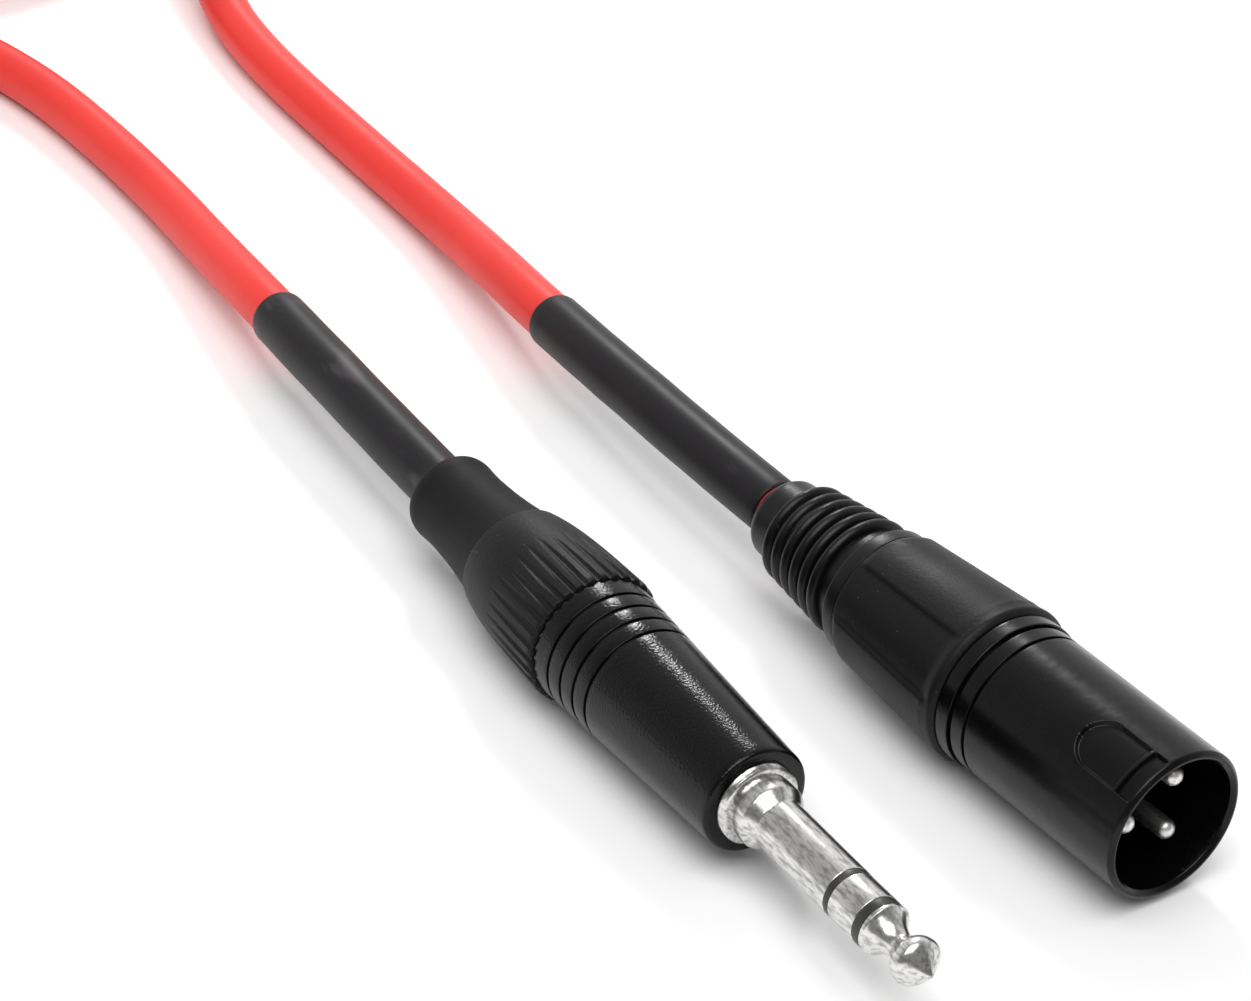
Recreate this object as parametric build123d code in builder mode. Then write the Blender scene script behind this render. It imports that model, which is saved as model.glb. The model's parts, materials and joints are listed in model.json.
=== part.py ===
from build123d import *
import math
import os

# Balanced microphone lead: 6.35 mm stereo jack plug on one end, 3-pin XLR plug on the other.
# Millimetres. Both plugs lie side by side on the surface Z = 0, noses towards +Y.
# Every distance called "back" is measured along a plug's axis, from its reference face
# towards its cable. The XLR's reference is its rim, the jack's is the front of its sleeve contact.

os.makedirs("parts", exist_ok=True)

# ---------------------------------------------------------------- driving dimensions
# where the plugs lie
XLR_RIM = (-16.1, 46.8)
JACK_DATUM = (20.8, 35.6)
JACK_YAW = 3.7
XLR_ROLL = 32.0

# gaps between pieces
THREAD_GAP = 0.07
SEAT_GAP = 0.03
SLIDE_GAP = 0.2

# the cable and its heat-shrink sleeves
CABLE_R = 3.4
CORE_R = 0.7
DRAIN_R = 0.45
CORE_CIRCLE_R = 1.3
SHRINK_WALL = 0.4
SHRINK_GAP = 0.35
XLR_SHRINK_LENGTH = 50.0
JACK_SHRINK_LENGTH = 56.0
SHRINK_BARE_CABLE = 0.5
JACK_SHRINK_INSIDE = 9.0

# XLR shell
SHELL_R = 9.5
SHELL_WALL = 1.2
SHELL_LENGTH = 30.0
SHELL_REAR_WALL = 0.85
SHELL_FLANGE_HEIGHT = 0.25
RIM_CHAMFER = 0.45
MOUTH_DEPTH = 15.4
INSERT_FRONT_LENGTH = 3.6
INSERT_FLANGE_LENGTH = 4.6
GROOVE_DEPTH = 0.35
GROOVE_WIDTH = 0.5
XLR_GROOVE_SETBACKS = (5.0, 2.6)
LATCH_BACK = 3.3
LATCH_LENGTH = 8.0
LATCH_WIDTH = 6.6
LATCH_DEPTH = 0.5
LATCH_SLOT_LENGTH = 2.2
LATCH_RIDGE = 0.4
KEYWAY_ANGLE = 54.0
KEYWAY_WIDTH = 2.2
KEYWAY_DEPTH = 0.6
KEYWAY_LENGTH = 9.0

# XLR contacts: pins 1 and 2 above, pin 3 below
PIN_R = 1.2
PIN_BODY_R = 1.45
PIN_TIP_BACK = 2.4
PIN_HALF_SPACING = 3.81
PIN_UPPER = 2.54
PIN_LOWER = -3.81
CUP_R = 1.5
CUP_BORE_R = 1.0
CUP_LENGTH = 5.0
GROUND_TAG_WIDTH = 2.4
GROUND_TAG_THICKNESS = 0.4

# XLR bushing (grip), chuck and boot
GRIP_LIP_HEIGHT = 0.55
GRIP_LIP_LENGTH = 2.6
GRIP_REAR_R = 8.4
GRIP_LENGTH = 20.9
GRIP_PAD_HEIGHT = 0.45
GRIP_PAD_ARC = 72.0
XLR_SPIGOT_LENGTH = 5.6
XLR_SPIGOT_WALL = 0.85
CHUCK_WALL = 0.8
XLR_JACKET_SETBACK = 9.0
XLR_CHUCK_JAW_WALL = 2.4
CHUCK_REAR_GAP = 0.6
CHUCK_SLOT = 1.0
BOOT_COLLAR_WALL = 1.25
BOOT_COLLAR_LENGTH = 4.3
BOOT_PLUG_WALL = 0.85
BOOT_PLUG_LENGTH = 4.4
BOOT_LENGTH = 20.6
RIB_COUNT = 6
RIB_PITCH = 2.06
RIB_HEIGHT = 1.2
RIB_STEP = 0.24
RIB_RADIUS = 0.75

# jack contacts
PLUG_R = 3.175
SLEEVE_STEP_HEIGHT = 0.975
SLEEVE_STEP_BACK = 14.5
SLEEVE_CHAMFER = 1.4
COLLAR_HEIGHT = 0.85
COLLAR_BACK = 16.8
COLLAR_LENGTH = 6.8
SHOULDER_HEIGHT = 1.1
SHOULDER_LENGTH = 7.0
SLEEVE_WALL = 0.775
REAR_INSULATOR_WALL = 0.5
RING_WALL = 0.6
FRONT_INSULATOR_WALL = 0.5
REAR_INSULATOR_WIDTH = 0.95
RING_WIDTH = 4.45
FRONT_INSULATOR_WIDTH = 1.35
TIP_LENGTH = 9.0
TIP_NECK_DEPTH = 1.575
TIP_BULB_DEPTH = 0.275
TERMINAL_STEP = 3.2
LUG_WIDTH = 2.6
LUG_THICKNESS = 0.5
LUG_OVERLAP = 1.2
LUG_HOLE_R = 0.6
SLEEVE_LUG_LENGTH = 10.0
RING_LUG_LENGTH = 7.5
TIP_LUG_LENGTH = 6.0

# jack barrel, nut and rubber boot
BARREL_FRONT_BACK = 17.8
BARREL_LENGTH = 34.3
BARREL_FRONT_WALL = 0.6
BARREL_REAR_WALL = 1.35
BARREL_BORE_STEP = 0.8
BARREL_REAR_BORE_LENGTH = 7.6
BARREL_GROOVES = 4
BARREL_GROOVE_PITCH = 2.55
BARREL_LAST_GROOVE = 2.8
NUT_LIP_HEIGHT = 0.55
NUT_REAR_WALL = 2.35
NUT_LENGTH = 18.0
NUT_WALL = 0.75
NUT_FLUTES = 32
FLUTE_R = 0.45
JACK_SPIGOT_LENGTH = 7.0
JACK_CHUCK_LENGTH = 16.0
JACK_CHUCK_JAW_WALL = 1.6
JACK_JACKET_SETBACK = 4.9
JACK_BOOT_FRONT_WALL = 2.75
JACK_BOOT_WAIST_WALL = 1.65
JACK_BOOT_LENGTH = 16.7
JACK_BOOT_PLUG_WALL = 0.8
JACK_BOOT_PLUG_LENGTH = 3.2

# the put-away coil and its strap: 3.5 turns on the surface, 2 turns on top of them
COIL_CENTRE = (-14.8, -260.0)
COIL_INNER_TURN_R = 29.1
TURN_GAP = 0.1
STRAP_THICKNESS = 1.0
STRAP_WIDTH = 14.0
STRAP_GAP = 0.2
STRAP_CLEAR = 1.2

# ---------------------------------------------------------------- derived planes and axes
SHELL_REAR_BORE_R = SHELL_R - SHELL_REAR_WALL
SHELL_FLANGE_R = SHELL_R + SHELL_FLANGE_HEIGHT
GRIP_FRONT_R = SHELL_FLANGE_R
GRIP_LIP_R = GRIP_FRONT_R + GRIP_LIP_HEIGHT
SHRINK_R = CABLE_R + SHRINK_WALL
BOOT_BORE_R = SHRINK_R + SHRINK_GAP
BOOT_PLUG_R = BOOT_BORE_R + BOOT_PLUG_WALL
BOOT_COLLAR_R = BOOT_BORE_R + BOOT_COLLAR_WALL
RIB_FIRST_R = BOOT_COLLAR_R + RIB_HEIGHT
JACK_BOOT_PLUG_R = BOOT_BORE_R + JACK_BOOT_PLUG_WALL
JACK_BOOT_WAIST_R = BOOT_BORE_R + JACK_BOOT_WAIST_WALL
JACK_BOOT_FRONT_R = BOOT_BORE_R + JACK_BOOT_FRONT_WALL
SLEEVE_STEP_R = PLUG_R + SLEEVE_STEP_HEIGHT
COLLAR_R = SLEEVE_STEP_R + COLLAR_HEIGHT
SHOULDER_R = COLLAR_R + SHOULDER_HEIGHT
SLEEVE_BORE_R = PLUG_R - SLEEVE_WALL
RING_TUBE_R = SLEEVE_BORE_R - REAR_INSULATOR_WALL
RING_BORE_R = RING_TUBE_R - RING_WALL
TIP_ROD_R = RING_BORE_R - FRONT_INSULATOR_WALL
BARREL_FRONT_R = SHOULDER_R + BARREL_FRONT_WALL
BARREL_REAR_BORE_R = SHOULDER_R + BARREL_BORE_STEP
BARREL_REAR_R = BARREL_REAR_BORE_R + BARREL_REAR_WALL
NUT_FRONT_R = BARREL_REAR_R + NUT_LIP_HEIGHT
NUT_REAR_R = JACK_BOOT_PLUG_R + NUT_REAR_WALL
XLR_Z = GRIP_LIP_R
JACK_Z = NUT_FRONT_R
FLOOR_Z = CABLE_R + 0.05
roll = math.radians(XLR_ROLL)
yaw = math.radians(JACK_YAW)

# profile planes: X is the radius, Y runs along the plug's axis towards its nose
XLR = Plane(origin=(*XLR_RIM, XLR_Z), x_dir=(1, 0, 0), z_dir=(0, 0, 1))
JACK = Plane(
    origin=(*JACK_DATUM, JACK_Z), x_dir=(math.cos(yaw), -math.sin(yaw), 0), z_dir=(0, 0, 1)
)
XLR_AXIS = Axis(XLR.origin, XLR.y_dir)
JACK_AXIS = Axis(JACK.origin, JACK.y_dir)
# face planes: Z runs along the plug's axis towards its nose, Y points at the latch recess
XLR_FACE = Plane(XLR.origin, x_dir=(-math.cos(roll), 0, math.sin(roll)), z_dir=(0, 1, 0))
# the plane that faces the latch recess, Y towards the nose
LATCH_SIDE = Plane(XLR.origin, x_dir=-XLR_FACE.x_dir, z_dir=XLR_FACE.y_dir)
JACK_FACE = Plane(JACK.origin, x_dir=(-math.cos(yaw), math.sin(yaw), 0), z_dir=tuple(JACK.y_dir))

MOUTH_R = SHELL_R - SHELL_WALL
INSERT_BACK = MOUTH_DEPTH + INSERT_FRONT_LENGTH
INSERT_REAR = INSERT_BACK + INSERT_FLANGE_LENGTH
SPIGOT_R = SHELL_REAR_BORE_R - THREAD_GAP
SPIGOT_BORE_R = SPIGOT_R - XLR_SPIGOT_WALL
GRIP_REAR = SHELL_LENGTH + GRIP_LENGTH
BOOT_REAR = GRIP_REAR + BOOT_LENGTH
XLR_CHUCK_R = SPIGOT_BORE_R - SLIDE_GAP
XLR_CHUCK_FRONT = INSERT_REAR + 2 * GROUND_TAG_THICKNESS
XLR_CHUCK_REAR = GRIP_REAR - BOOT_PLUG_LENGTH - CHUCK_REAR_GAP
CHUCK_BORE_R = CABLE_R + SLIDE_GAP
XLR_CHUCK_JAW_R = CHUCK_BORE_R + XLR_CHUCK_JAW_WALL
JACK_CHUCK_JAW_R = CHUCK_BORE_R + JACK_CHUCK_JAW_WALL
XLR_JACKET_BACK = SHELL_LENGTH + XLR_JACKET_SETBACK
PINS = (
    ("xlr_pin_1", (PIN_HALF_SPACING, PIN_UPPER)),
    ("xlr_pin_2", (-PIN_HALF_SPACING, PIN_UPPER)),
    ("xlr_pin_3", (0.0, PIN_LOWER)),
)
BARREL_REAR = BARREL_FRONT_BACK + BARREL_LENGTH
NUT_REAR = BARREL_REAR + NUT_LENGTH
JACK_BOOT_REAR = NUT_REAR + JACK_BOOT_LENGTH
JACK_JACKET_BACK = BARREL_REAR + JACK_JACKET_SETBACK
JACK_SPIGOT_R = BARREL_REAR_BORE_R - THREAD_GAP
JACK_SPIGOT_BORE_R = JACK_SPIGOT_R - NUT_WALL
JACK_CHUCK_R = JACK_SPIGOT_BORE_R - SLIDE_GAP


# ---------------------------------------------------------------- shared building steps
def profile(plane, outline):
    """A closed straight-sided outline on a profile plane, as (radius, distance back) pairs."""
    with BuildSketch(plane) as face:
        with BuildLine():
            Polyline([(radius, -back) for radius, back in outline], close=True)
        make_face()
    return face.sketch


def tube_profile(plane, bore, radius, front, rear):
    """The half section of a plain tube."""
    return profile(plane, [(bore, front), (radius, front), (radius, rear), (bore, rear)])


def on_axis(plane, back, side=0.0, up=0.0):
    """A point beside a plug's axis, in the row's own coordinates."""
    return plane.from_local_coords(Vector(side, -back, up))


def route(points, share=0.45):
    """Straight runs joined by tangent arcs, each as large as its two runs allow."""
    corners = [Vector(*point) for point in points]
    radii = []
    for before, corner, after in zip(corners, corners[1:], corners[2:]):
        turn = math.radians((corner - before).get_angle(after - corner))
        shorter = min((corner - before).length, (after - corner).length)
        radii.append(share * shorter / math.tan(turn / 2))
    return corners, radii


def save(part, node):
    part.label = node
    export_step(part, f"parts/{node}.step")


# ---------------------------------------------------------------- XLR shell
with BuildPart() as latch_cutter:
    # a D-shaped dish with a round rear, and a short slot between its front ridge and the rim
    rear_centre = LATCH_BACK + LATCH_LENGTH - LATCH_WIDTH / 2
    with BuildSketch(LATCH_SIDE):
        with Locations((0, -rear_centre)):
            Circle(LATCH_WIDTH / 2)
        with Locations((0, -(rear_centre + LATCH_BACK) / 2)):
            Rectangle(LATCH_WIDTH, rear_centre - LATCH_BACK)
        with Locations((0, LATCH_RIDGE - LATCH_BACK + LATCH_SLOT_LENGTH / 2)):
            Rectangle(LATCH_WIDTH, LATCH_SLOT_LENGTH)
    extrude(amount=SHELL_R + 1)
    floor_radius = SHELL_R - LATCH_DEPTH
    revolve(tube_profile(XLR, 0, floor_radius, -1, SHELL_LENGTH), XLR_AXIS, mode=Mode.SUBTRACT)

with BuildPart() as xlr_shell:
    wall = [
        (MOUTH_R + RIM_CHAMFER, 0),
        (SHELL_R - RIM_CHAMFER, 0),
        (SHELL_R, RIM_CHAMFER),
        (SHELL_R, SHELL_LENGTH - XLR_GROOVE_SETBACKS[1]),
        (SHELL_FLANGE_R, SHELL_LENGTH - XLR_GROOVE_SETBACKS[1]),
        (SHELL_FLANGE_R, SHELL_LENGTH),
        (SHELL_REAR_BORE_R, SHELL_LENGTH),
        (SHELL_REAR_BORE_R, INSERT_BACK),
        (MOUTH_R, INSERT_BACK),
        (MOUTH_R, RIM_CHAMFER),
    ]
    revolve(profile(XLR, wall), XLR_AXIS)
    for setback in XLR_GROOVE_SETBACKS:
        back = SHELL_LENGTH - setback
        groove = tube_profile(
            XLR, SHELL_R - GROOVE_DEPTH, SHELL_FLANGE_R + 1, back, back + GROOVE_WIDTH
        )
        revolve(groove, XLR_AXIS, mode=Mode.SUBTRACT)
    add(latch_cutter.part, mode=Mode.SUBTRACT)
    with BuildSketch(XLR_FACE):
        with PolarLocations(MOUTH_R, 1, start_angle=KEYWAY_ANGLE):
            Rectangle(2 * KEYWAY_DEPTH, KEYWAY_WIDTH)
    extrude(amount=-KEYWAY_LENGTH, mode=Mode.SUBTRACT)
save(xlr_shell.part, "xlr_shell")

# ---------------------------------------------------------------- XLR insert and contacts
with BuildPart() as xlr_insert:
    body = [
        (0, MOUTH_DEPTH),
        (MOUTH_R - SEAT_GAP, MOUTH_DEPTH),
        (MOUTH_R - SEAT_GAP, INSERT_BACK + SEAT_GAP),
        (SHELL_REAR_BORE_R - SEAT_GAP, INSERT_BACK + SEAT_GAP),
        (SHELL_REAR_BORE_R - SEAT_GAP, INSERT_REAR),
        (0, INSERT_REAR),
    ]
    revolve(profile(XLR, body), XLR_AXIS)
    with BuildSketch(XLR_FACE):
        with Locations([place for _, place in PINS]):
            Circle(PIN_BODY_R + SEAT_GAP)
    extrude(amount=-INSERT_REAR, mode=Mode.SUBTRACT)
save(xlr_insert.part, "xlr_insert")

for node, place in PINS:
    with BuildPart() as xlr_pin:
        with BuildSketch(XLR_FACE.offset(-PIN_TIP_BACK)):
            with Locations(place):
                Circle(PIN_R)
        extrude(amount=PIN_TIP_BACK - MOUTH_DEPTH)
        fillet(xlr_pin.edges().group_by(Axis.Y)[-1], 0.8 * PIN_R)
        # the thicker body that the insert holds
        with BuildSketch(XLR_FACE.offset(-MOUTH_DEPTH)):
            with Locations(place):
                Circle(PIN_BODY_R)
        extrude(amount=MOUTH_DEPTH - INSERT_REAR - SEAT_GAP)
        with BuildSketch(XLR_FACE.offset(-INSERT_REAR - SEAT_GAP)):
            with Locations(place):
                Circle(CUP_R)
        extrude(amount=-CUP_LENGTH)
        with BuildSketch(XLR_FACE.offset(-INSERT_REAR - SEAT_GAP - CUP_LENGTH)):
            with Locations(place):
                Circle(CUP_BORE_R)
        extrude(amount=CUP_LENGTH / 2, mode=Mode.SUBTRACT)
    save(xlr_pin.part, node)

with BuildPart() as xlr_ground_contact:
    # a flat tag on the insert's back that joins the shell to pin 1's cup
    tag_start = PIN_HALF_SPACING + CUP_R + SEAT_GAP
    tag_end = math.sqrt((SHELL_REAR_BORE_R - THREAD_GAP) ** 2 - (PIN_UPPER + GROUND_TAG_WIDTH / 2) ** 2)
    with BuildSketch(XLR_FACE.offset(-INSERT_REAR - SEAT_GAP)):
        with Locations(((tag_start + tag_end) / 2, PIN_UPPER)):
            Rectangle(tag_end - tag_start, GROUND_TAG_WIDTH)
    extrude(amount=-GROUND_TAG_THICKNESS)
save(xlr_ground_contact.part, "xlr_ground_contact")

# ---------------------------------------------------------------- XLR chuck, grip and boot
with BuildPart() as xlr_chuck:
    throat = XLR_JACKET_BACK - 2
    collet = [
        (XLR_CHUCK_R - CHUCK_WALL, XLR_CHUCK_FRONT),
        (XLR_CHUCK_R, XLR_CHUCK_FRONT),
        (XLR_CHUCK_R, SHELL_LENGTH),
        (XLR_CHUCK_JAW_R, XLR_CHUCK_REAR),
        (CHUCK_BORE_R, XLR_CHUCK_REAR),
        (CHUCK_BORE_R, throat),
        (XLR_CHUCK_R - CHUCK_WALL, INSERT_REAR + CUP_LENGTH + 3),
    ]
    revolve(profile(XLR, collet), XLR_AXIS)
    with BuildSketch(XLR_FACE.offset(-XLR_CHUCK_REAR)):
        Rectangle(2 * SHELL_R, CHUCK_SLOT)
        Rectangle(CHUCK_SLOT, 2 * SHELL_R)
    extrude(amount=XLR_CHUCK_REAR - throat + 2, mode=Mode.SUBTRACT)
save(xlr_chuck.part, "xlr_chuck")

with BuildPart() as xlr_grip:
    lip_rear = SHELL_LENGTH + GRIP_LIP_LENGTH
    chuck_rear_bore_r = XLR_CHUCK_JAW_R + SLIDE_GAP
    handle = [
        (SPIGOT_BORE_R, SHELL_LENGTH - XLR_SPIGOT_LENGTH),
        (SPIGOT_R, SHELL_LENGTH - XLR_SPIGOT_LENGTH),
        (SPIGOT_R, SHELL_LENGTH + SEAT_GAP),
        (GRIP_LIP_R - 0.5, SHELL_LENGTH + SEAT_GAP),
        (GRIP_LIP_R, SHELL_LENGTH + 0.6),
        (GRIP_LIP_R, SHELL_LENGTH + 1.2),
        (GRIP_FRONT_R, lip_rear),
        (GRIP_REAR_R, GRIP_REAR),
        (BOOT_PLUG_R + SEAT_GAP, GRIP_REAR),
        (BOOT_PLUG_R + SEAT_GAP, XLR_CHUCK_REAR + CHUCK_REAR_GAP),
        (chuck_rear_bore_r, XLR_CHUCK_REAR + CHUCK_REAR_GAP),
        (SPIGOT_BORE_R, SHELL_LENGTH),
    ]
    revolve(profile(XLR, handle), XLR_AXIS)
    pad = [
        (SPIGOT_R, SHELL_LENGTH + 1.2),
        (GRIP_LIP_R, SHELL_LENGTH + 1.2),
        (GRIP_FRONT_R + GRIP_PAD_HEIGHT, lip_rear),
        (GRIP_REAR_R + GRIP_PAD_HEIGHT, GRIP_REAR - 0.9),
        (GRIP_REAR_R, GRIP_REAR - 0.3),
        (GRIP_REAR_R - 2 * GRIP_PAD_HEIGHT, GRIP_REAR - 0.3),
    ]
    # the first pad starts half a gap past the line that faces the latch recess
    for third in range(3):
        turned = XLR.rotated((0, 120 * third + 30 - GRIP_PAD_ARC / 2, 0))
        revolve(profile(turned, pad), XLR_AXIS, revolution_arc=GRIP_PAD_ARC)
save(xlr_grip.part, "xlr_grip")

with BuildPart() as xlr_boot:
    rib_rear = BOOT_REAR - BOOT_COLLAR_LENGTH
    last_rib_r = RIB_FIRST_R + RIB_STEP * (RIB_COUNT - 1)
    core = [
        (BOOT_BORE_R, GRIP_REAR - BOOT_PLUG_LENGTH),
        (BOOT_PLUG_R, GRIP_REAR - BOOT_PLUG_LENGTH),
        (BOOT_PLUG_R, GRIP_REAR + SEAT_GAP),
        (GRIP_REAR_R - 0.05, GRIP_REAR + SEAT_GAP),
        (GRIP_REAR_R - 0.1, GRIP_REAR + 2.0),
        (last_rib_r - RIB_RADIUS, GRIP_REAR + 2.4),
        (RIB_FIRST_R - RIB_RADIUS, rib_rear),
        (BOOT_COLLAR_R, rib_rear + 0.3),
        (BOOT_COLLAR_R - 0.1, BOOT_REAR - 0.8),
        (BOOT_COLLAR_R - 0.7, BOOT_REAR),
        (BOOT_BORE_R, BOOT_REAR),
    ]
    revolve(profile(XLR, core), XLR_AXIS)
    with BuildSketch(XLR):
        for rib in range(RIB_COUNT):
            rib_r = RIB_FIRST_R + RIB_STEP * rib
            with Locations((rib_r - RIB_RADIUS, -rib_rear + 0.7 + RIB_PITCH * rib)):
                Circle(RIB_RADIUS)
    revolve(axis=XLR_AXIS)
save(xlr_boot.part, "xlr_boot")

# ---------------------------------------------------------------- XLR wiring
XLR_WIRES = (
    ("xlr_drain_wire", PINS[0][1], DRAIN_R, 90.0),
    ("xlr_hot_core", PINS[1][1], CORE_R, 210.0),
    ("xlr_cold_core", PINS[2][1], CORE_R, 330.0),
)
for node, place, radius, angle in XLR_WIRES:
    inner = (CORE_CIRCLE_R * math.cos(math.radians(angle)), CORE_CIRCLE_R * math.sin(math.radians(angle)))
    cup_mouth = INSERT_REAR + CUP_LENGTH
    stations = (
        (inner, XLR_JACKET_BACK - SEAT_GAP),
        (inner, XLR_JACKET_BACK - 2.5),
        (place, cup_mouth + 2.0),
        (place, cup_mouth - 1.5),
    )
    corners, radii = route(
        [XLR_FACE.from_local_coords(Vector(*spot, -back)) for spot, back in stations]
    )
    with BuildPart() as wire:
        with BuildLine():
            FilletPolyline(corners, radius=radii)
        with BuildSketch(Plane(corners[0], z_dir=corners[1] - corners[0])):
            Circle(radius)
        sweep()
    save(wire.part, node)

# ---------------------------------------------------------------- jack contacts
# distances forward of the datum are negative distances back
RING_REAR = -REAR_INSULATOR_WIDTH
RING_FRONT = RING_REAR - RING_WIDTH
TIP_REAR = RING_FRONT - FRONT_INSULATOR_WIDTH
TIP_APEX = TIP_REAR - TIP_LENGTH
COLLAR_REAR = COLLAR_BACK + COLLAR_LENGTH
SLEEVE_REAR = COLLAR_REAR + SHOULDER_LENGTH
REAR_INSULATOR_END = SLEEVE_REAR + TERMINAL_STEP
RING_END = REAR_INSULATOR_END + TERMINAL_STEP
FRONT_INSULATOR_END = RING_END + TERMINAL_STEP / 2
ROD_END = FRONT_INSULATOR_END + TERMINAL_STEP

with BuildPart() as jack_sleeve_contact:
    body = [
        (SLEEVE_BORE_R, 0),
        (PLUG_R, 0),
        (PLUG_R, SLEEVE_STEP_BACK - SLEEVE_CHAMFER),
        (SLEEVE_STEP_R, SLEEVE_STEP_BACK),
        (SLEEVE_STEP_R, COLLAR_BACK),
        (COLLAR_R, COLLAR_BACK),
        (COLLAR_R, COLLAR_REAR),
        (SHOULDER_R, COLLAR_REAR),
        (SHOULDER_R, SLEEVE_REAR),
        (SLEEVE_BORE_R, SLEEVE_REAR),
    ]
    revolve(profile(JACK, body), JACK_AXIS)
save(jack_sleeve_contact.part, "jack_sleeve_contact")

with BuildPart() as jack_rear_insulator:
    body = [
        (RING_TUBE_R + SEAT_GAP, RING_REAR + SEAT_GAP),
        (PLUG_R, RING_REAR + SEAT_GAP),
        (PLUG_R, -SEAT_GAP),
        (SLEEVE_BORE_R - SEAT_GAP, -SEAT_GAP),
        (SLEEVE_BORE_R - SEAT_GAP, REAR_INSULATOR_END),
        (RING_TUBE_R + SEAT_GAP, REAR_INSULATOR_END),
    ]
    revolve(profile(JACK, body), JACK_AXIS)
save(jack_rear_insulator.part, "jack_rear_insulator")

with BuildPart() as jack_ring_contact:
    body = [
        (RING_BORE_R, RING_FRONT),
        (PLUG_R, RING_FRONT),
        (PLUG_R, RING_REAR),
        (RING_TUBE_R, RING_REAR),
        (RING_TUBE_R, RING_END),
        (RING_BORE_R, RING_END),
    ]
    revolve(profile(JACK, body), JACK_AXIS)
save(jack_ring_contact.part, "jack_ring_contact")

with BuildPart() as jack_front_insulator:
    body = [
        (TIP_ROD_R + SEAT_GAP, TIP_REAR + SEAT_GAP),
        (PLUG_R, TIP_REAR + SEAT_GAP),
        (PLUG_R, RING_FRONT - SEAT_GAP),
        (RING_BORE_R - SEAT_GAP, RING_FRONT - SEAT_GAP),
        (RING_BORE_R - SEAT_GAP, FRONT_INSULATOR_END),
        (TIP_ROD_R + SEAT_GAP, FRONT_INSULATOR_END),
    ]
    revolve(profile(JACK, body), JACK_AXIS)
save(jack_front_insulator.part, "jack_front_insulator")

with BuildPart() as jack_tip_contact:
    # a shoulder, a waisted neck, a bulb and a blunt cone on a long rod
    bulb_r = PLUG_R - TIP_BULB_DEPTH
    neck = -TIP_REAR + 0.39 * TIP_LENGTH
    bulb = -TIP_REAR + 0.70 * TIP_LENGTH
    with BuildSketch(JACK):
        with BuildLine():
            Polyline((TIP_ROD_R, -ROD_END), (TIP_ROD_R, -TIP_REAR), (PLUG_R, -TIP_REAR))
            Line((PLUG_R, -TIP_REAR), (PLUG_R, -TIP_REAR + 0.5))
            Spline(
                (PLUG_R, -TIP_REAR + 0.5),
                (PLUG_R - TIP_NECK_DEPTH, neck),
                (bulb_r, bulb),
                tangents=[(-1, 0.35), (0.05, 1)],
            )
            Polyline((bulb_r, bulb), (bulb_r - 0.15, bulb + 0.35), (0.25, -TIP_APEX - 0.08))
            Polyline((0.25, -TIP_APEX - 0.08), (0, -TIP_APEX), (0, -ROD_END), (TIP_ROD_R, -ROD_END))
        make_face()
    revolve(axis=JACK_AXIS)
save(jack_tip_contact.part, "jack_tip_contact")

# solder lugs: flat tags fixed to the back ends of the contacts
SLEEVE_LUG_HEIGHT = SHOULDER_R - LUG_WIDTH / 2 - 0.3
RING_LUG_HEIGHT = RING_TUBE_R + LUG_THICKNESS / 2 + SEAT_GAP
TIP_LUG_HEIGHT = TIP_ROD_R + LUG_THICKNESS / 2 + SEAT_GAP
JACK_LUGS = (
    ("jack_sleeve_lug", SLEEVE_LUG_HEIGHT, SLEEVE_REAR, SLEEVE_LUG_LENGTH),
    ("jack_ring_lug", -RING_LUG_HEIGHT, RING_END - LUG_OVERLAP, RING_LUG_LENGTH),
    ("jack_tip_lug", TIP_LUG_HEIGHT, ROD_END - LUG_OVERLAP, TIP_LUG_LENGTH),
)
for node, offset, start, length in JACK_LUGS:
    with BuildPart() as lug:
        with BuildSketch(JACK_FACE.offset(-start - SEAT_GAP)):
            with Locations((0, offset)):
                Rectangle(LUG_WIDTH, LUG_THICKNESS)
        extrude(amount=-length)
        with BuildSketch(Plane(on_axis(JACK, start + length - 1.6), z_dir=(0, 0, 1))):
            Circle(LUG_HOLE_R)
        extrude(amount=SHOULDER_R, both=True, mode=Mode.SUBTRACT)
    save(lug.part, node)

# ---------------------------------------------------------------- jack barrel
with BuildPart() as jack_barrel:
    rear_bore_start = BARREL_REAR - BARREL_REAR_BORE_LENGTH
    shell = [
        (COLLAR_R + SEAT_GAP, BARREL_FRONT_BACK),
        (BARREL_FRONT_R - 0.5, BARREL_FRONT_BACK),
        (BARREL_FRONT_R, BARREL_FRONT_BACK + 0.6),
        (BARREL_REAR_R, BARREL_REAR),
        (BARREL_REAR_BORE_R, BARREL_REAR),
        (BARREL_REAR_BORE_R, rear_bore_start),
        (SHOULDER_R + SEAT_GAP, rear_bore_start),
        (SHOULDER_R + SEAT_GAP, COLLAR_REAR - SEAT_GAP),
        (COLLAR_R + SEAT_GAP, COLLAR_REAR - SEAT_GAP),
    ]
    revolve(profile(JACK, shell), JACK_AXIS)
    slope = (BARREL_REAR_R - BARREL_FRONT_R) / BARREL_LENGTH
    for groove in range(BARREL_GROOVES):
        back = BARREL_REAR - BARREL_LAST_GROOVE - BARREL_GROOVE_PITCH * groove
        surface = BARREL_FRONT_R + slope * (back - BARREL_FRONT_BACK)
        cut = tube_profile(JACK, surface - GROOVE_DEPTH, BARREL_REAR_R + 1, back - GROOVE_WIDTH, back)
        revolve(cut, JACK_AXIS, mode=Mode.SUBTRACT)
save(jack_barrel.part, "jack_barrel")

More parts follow.
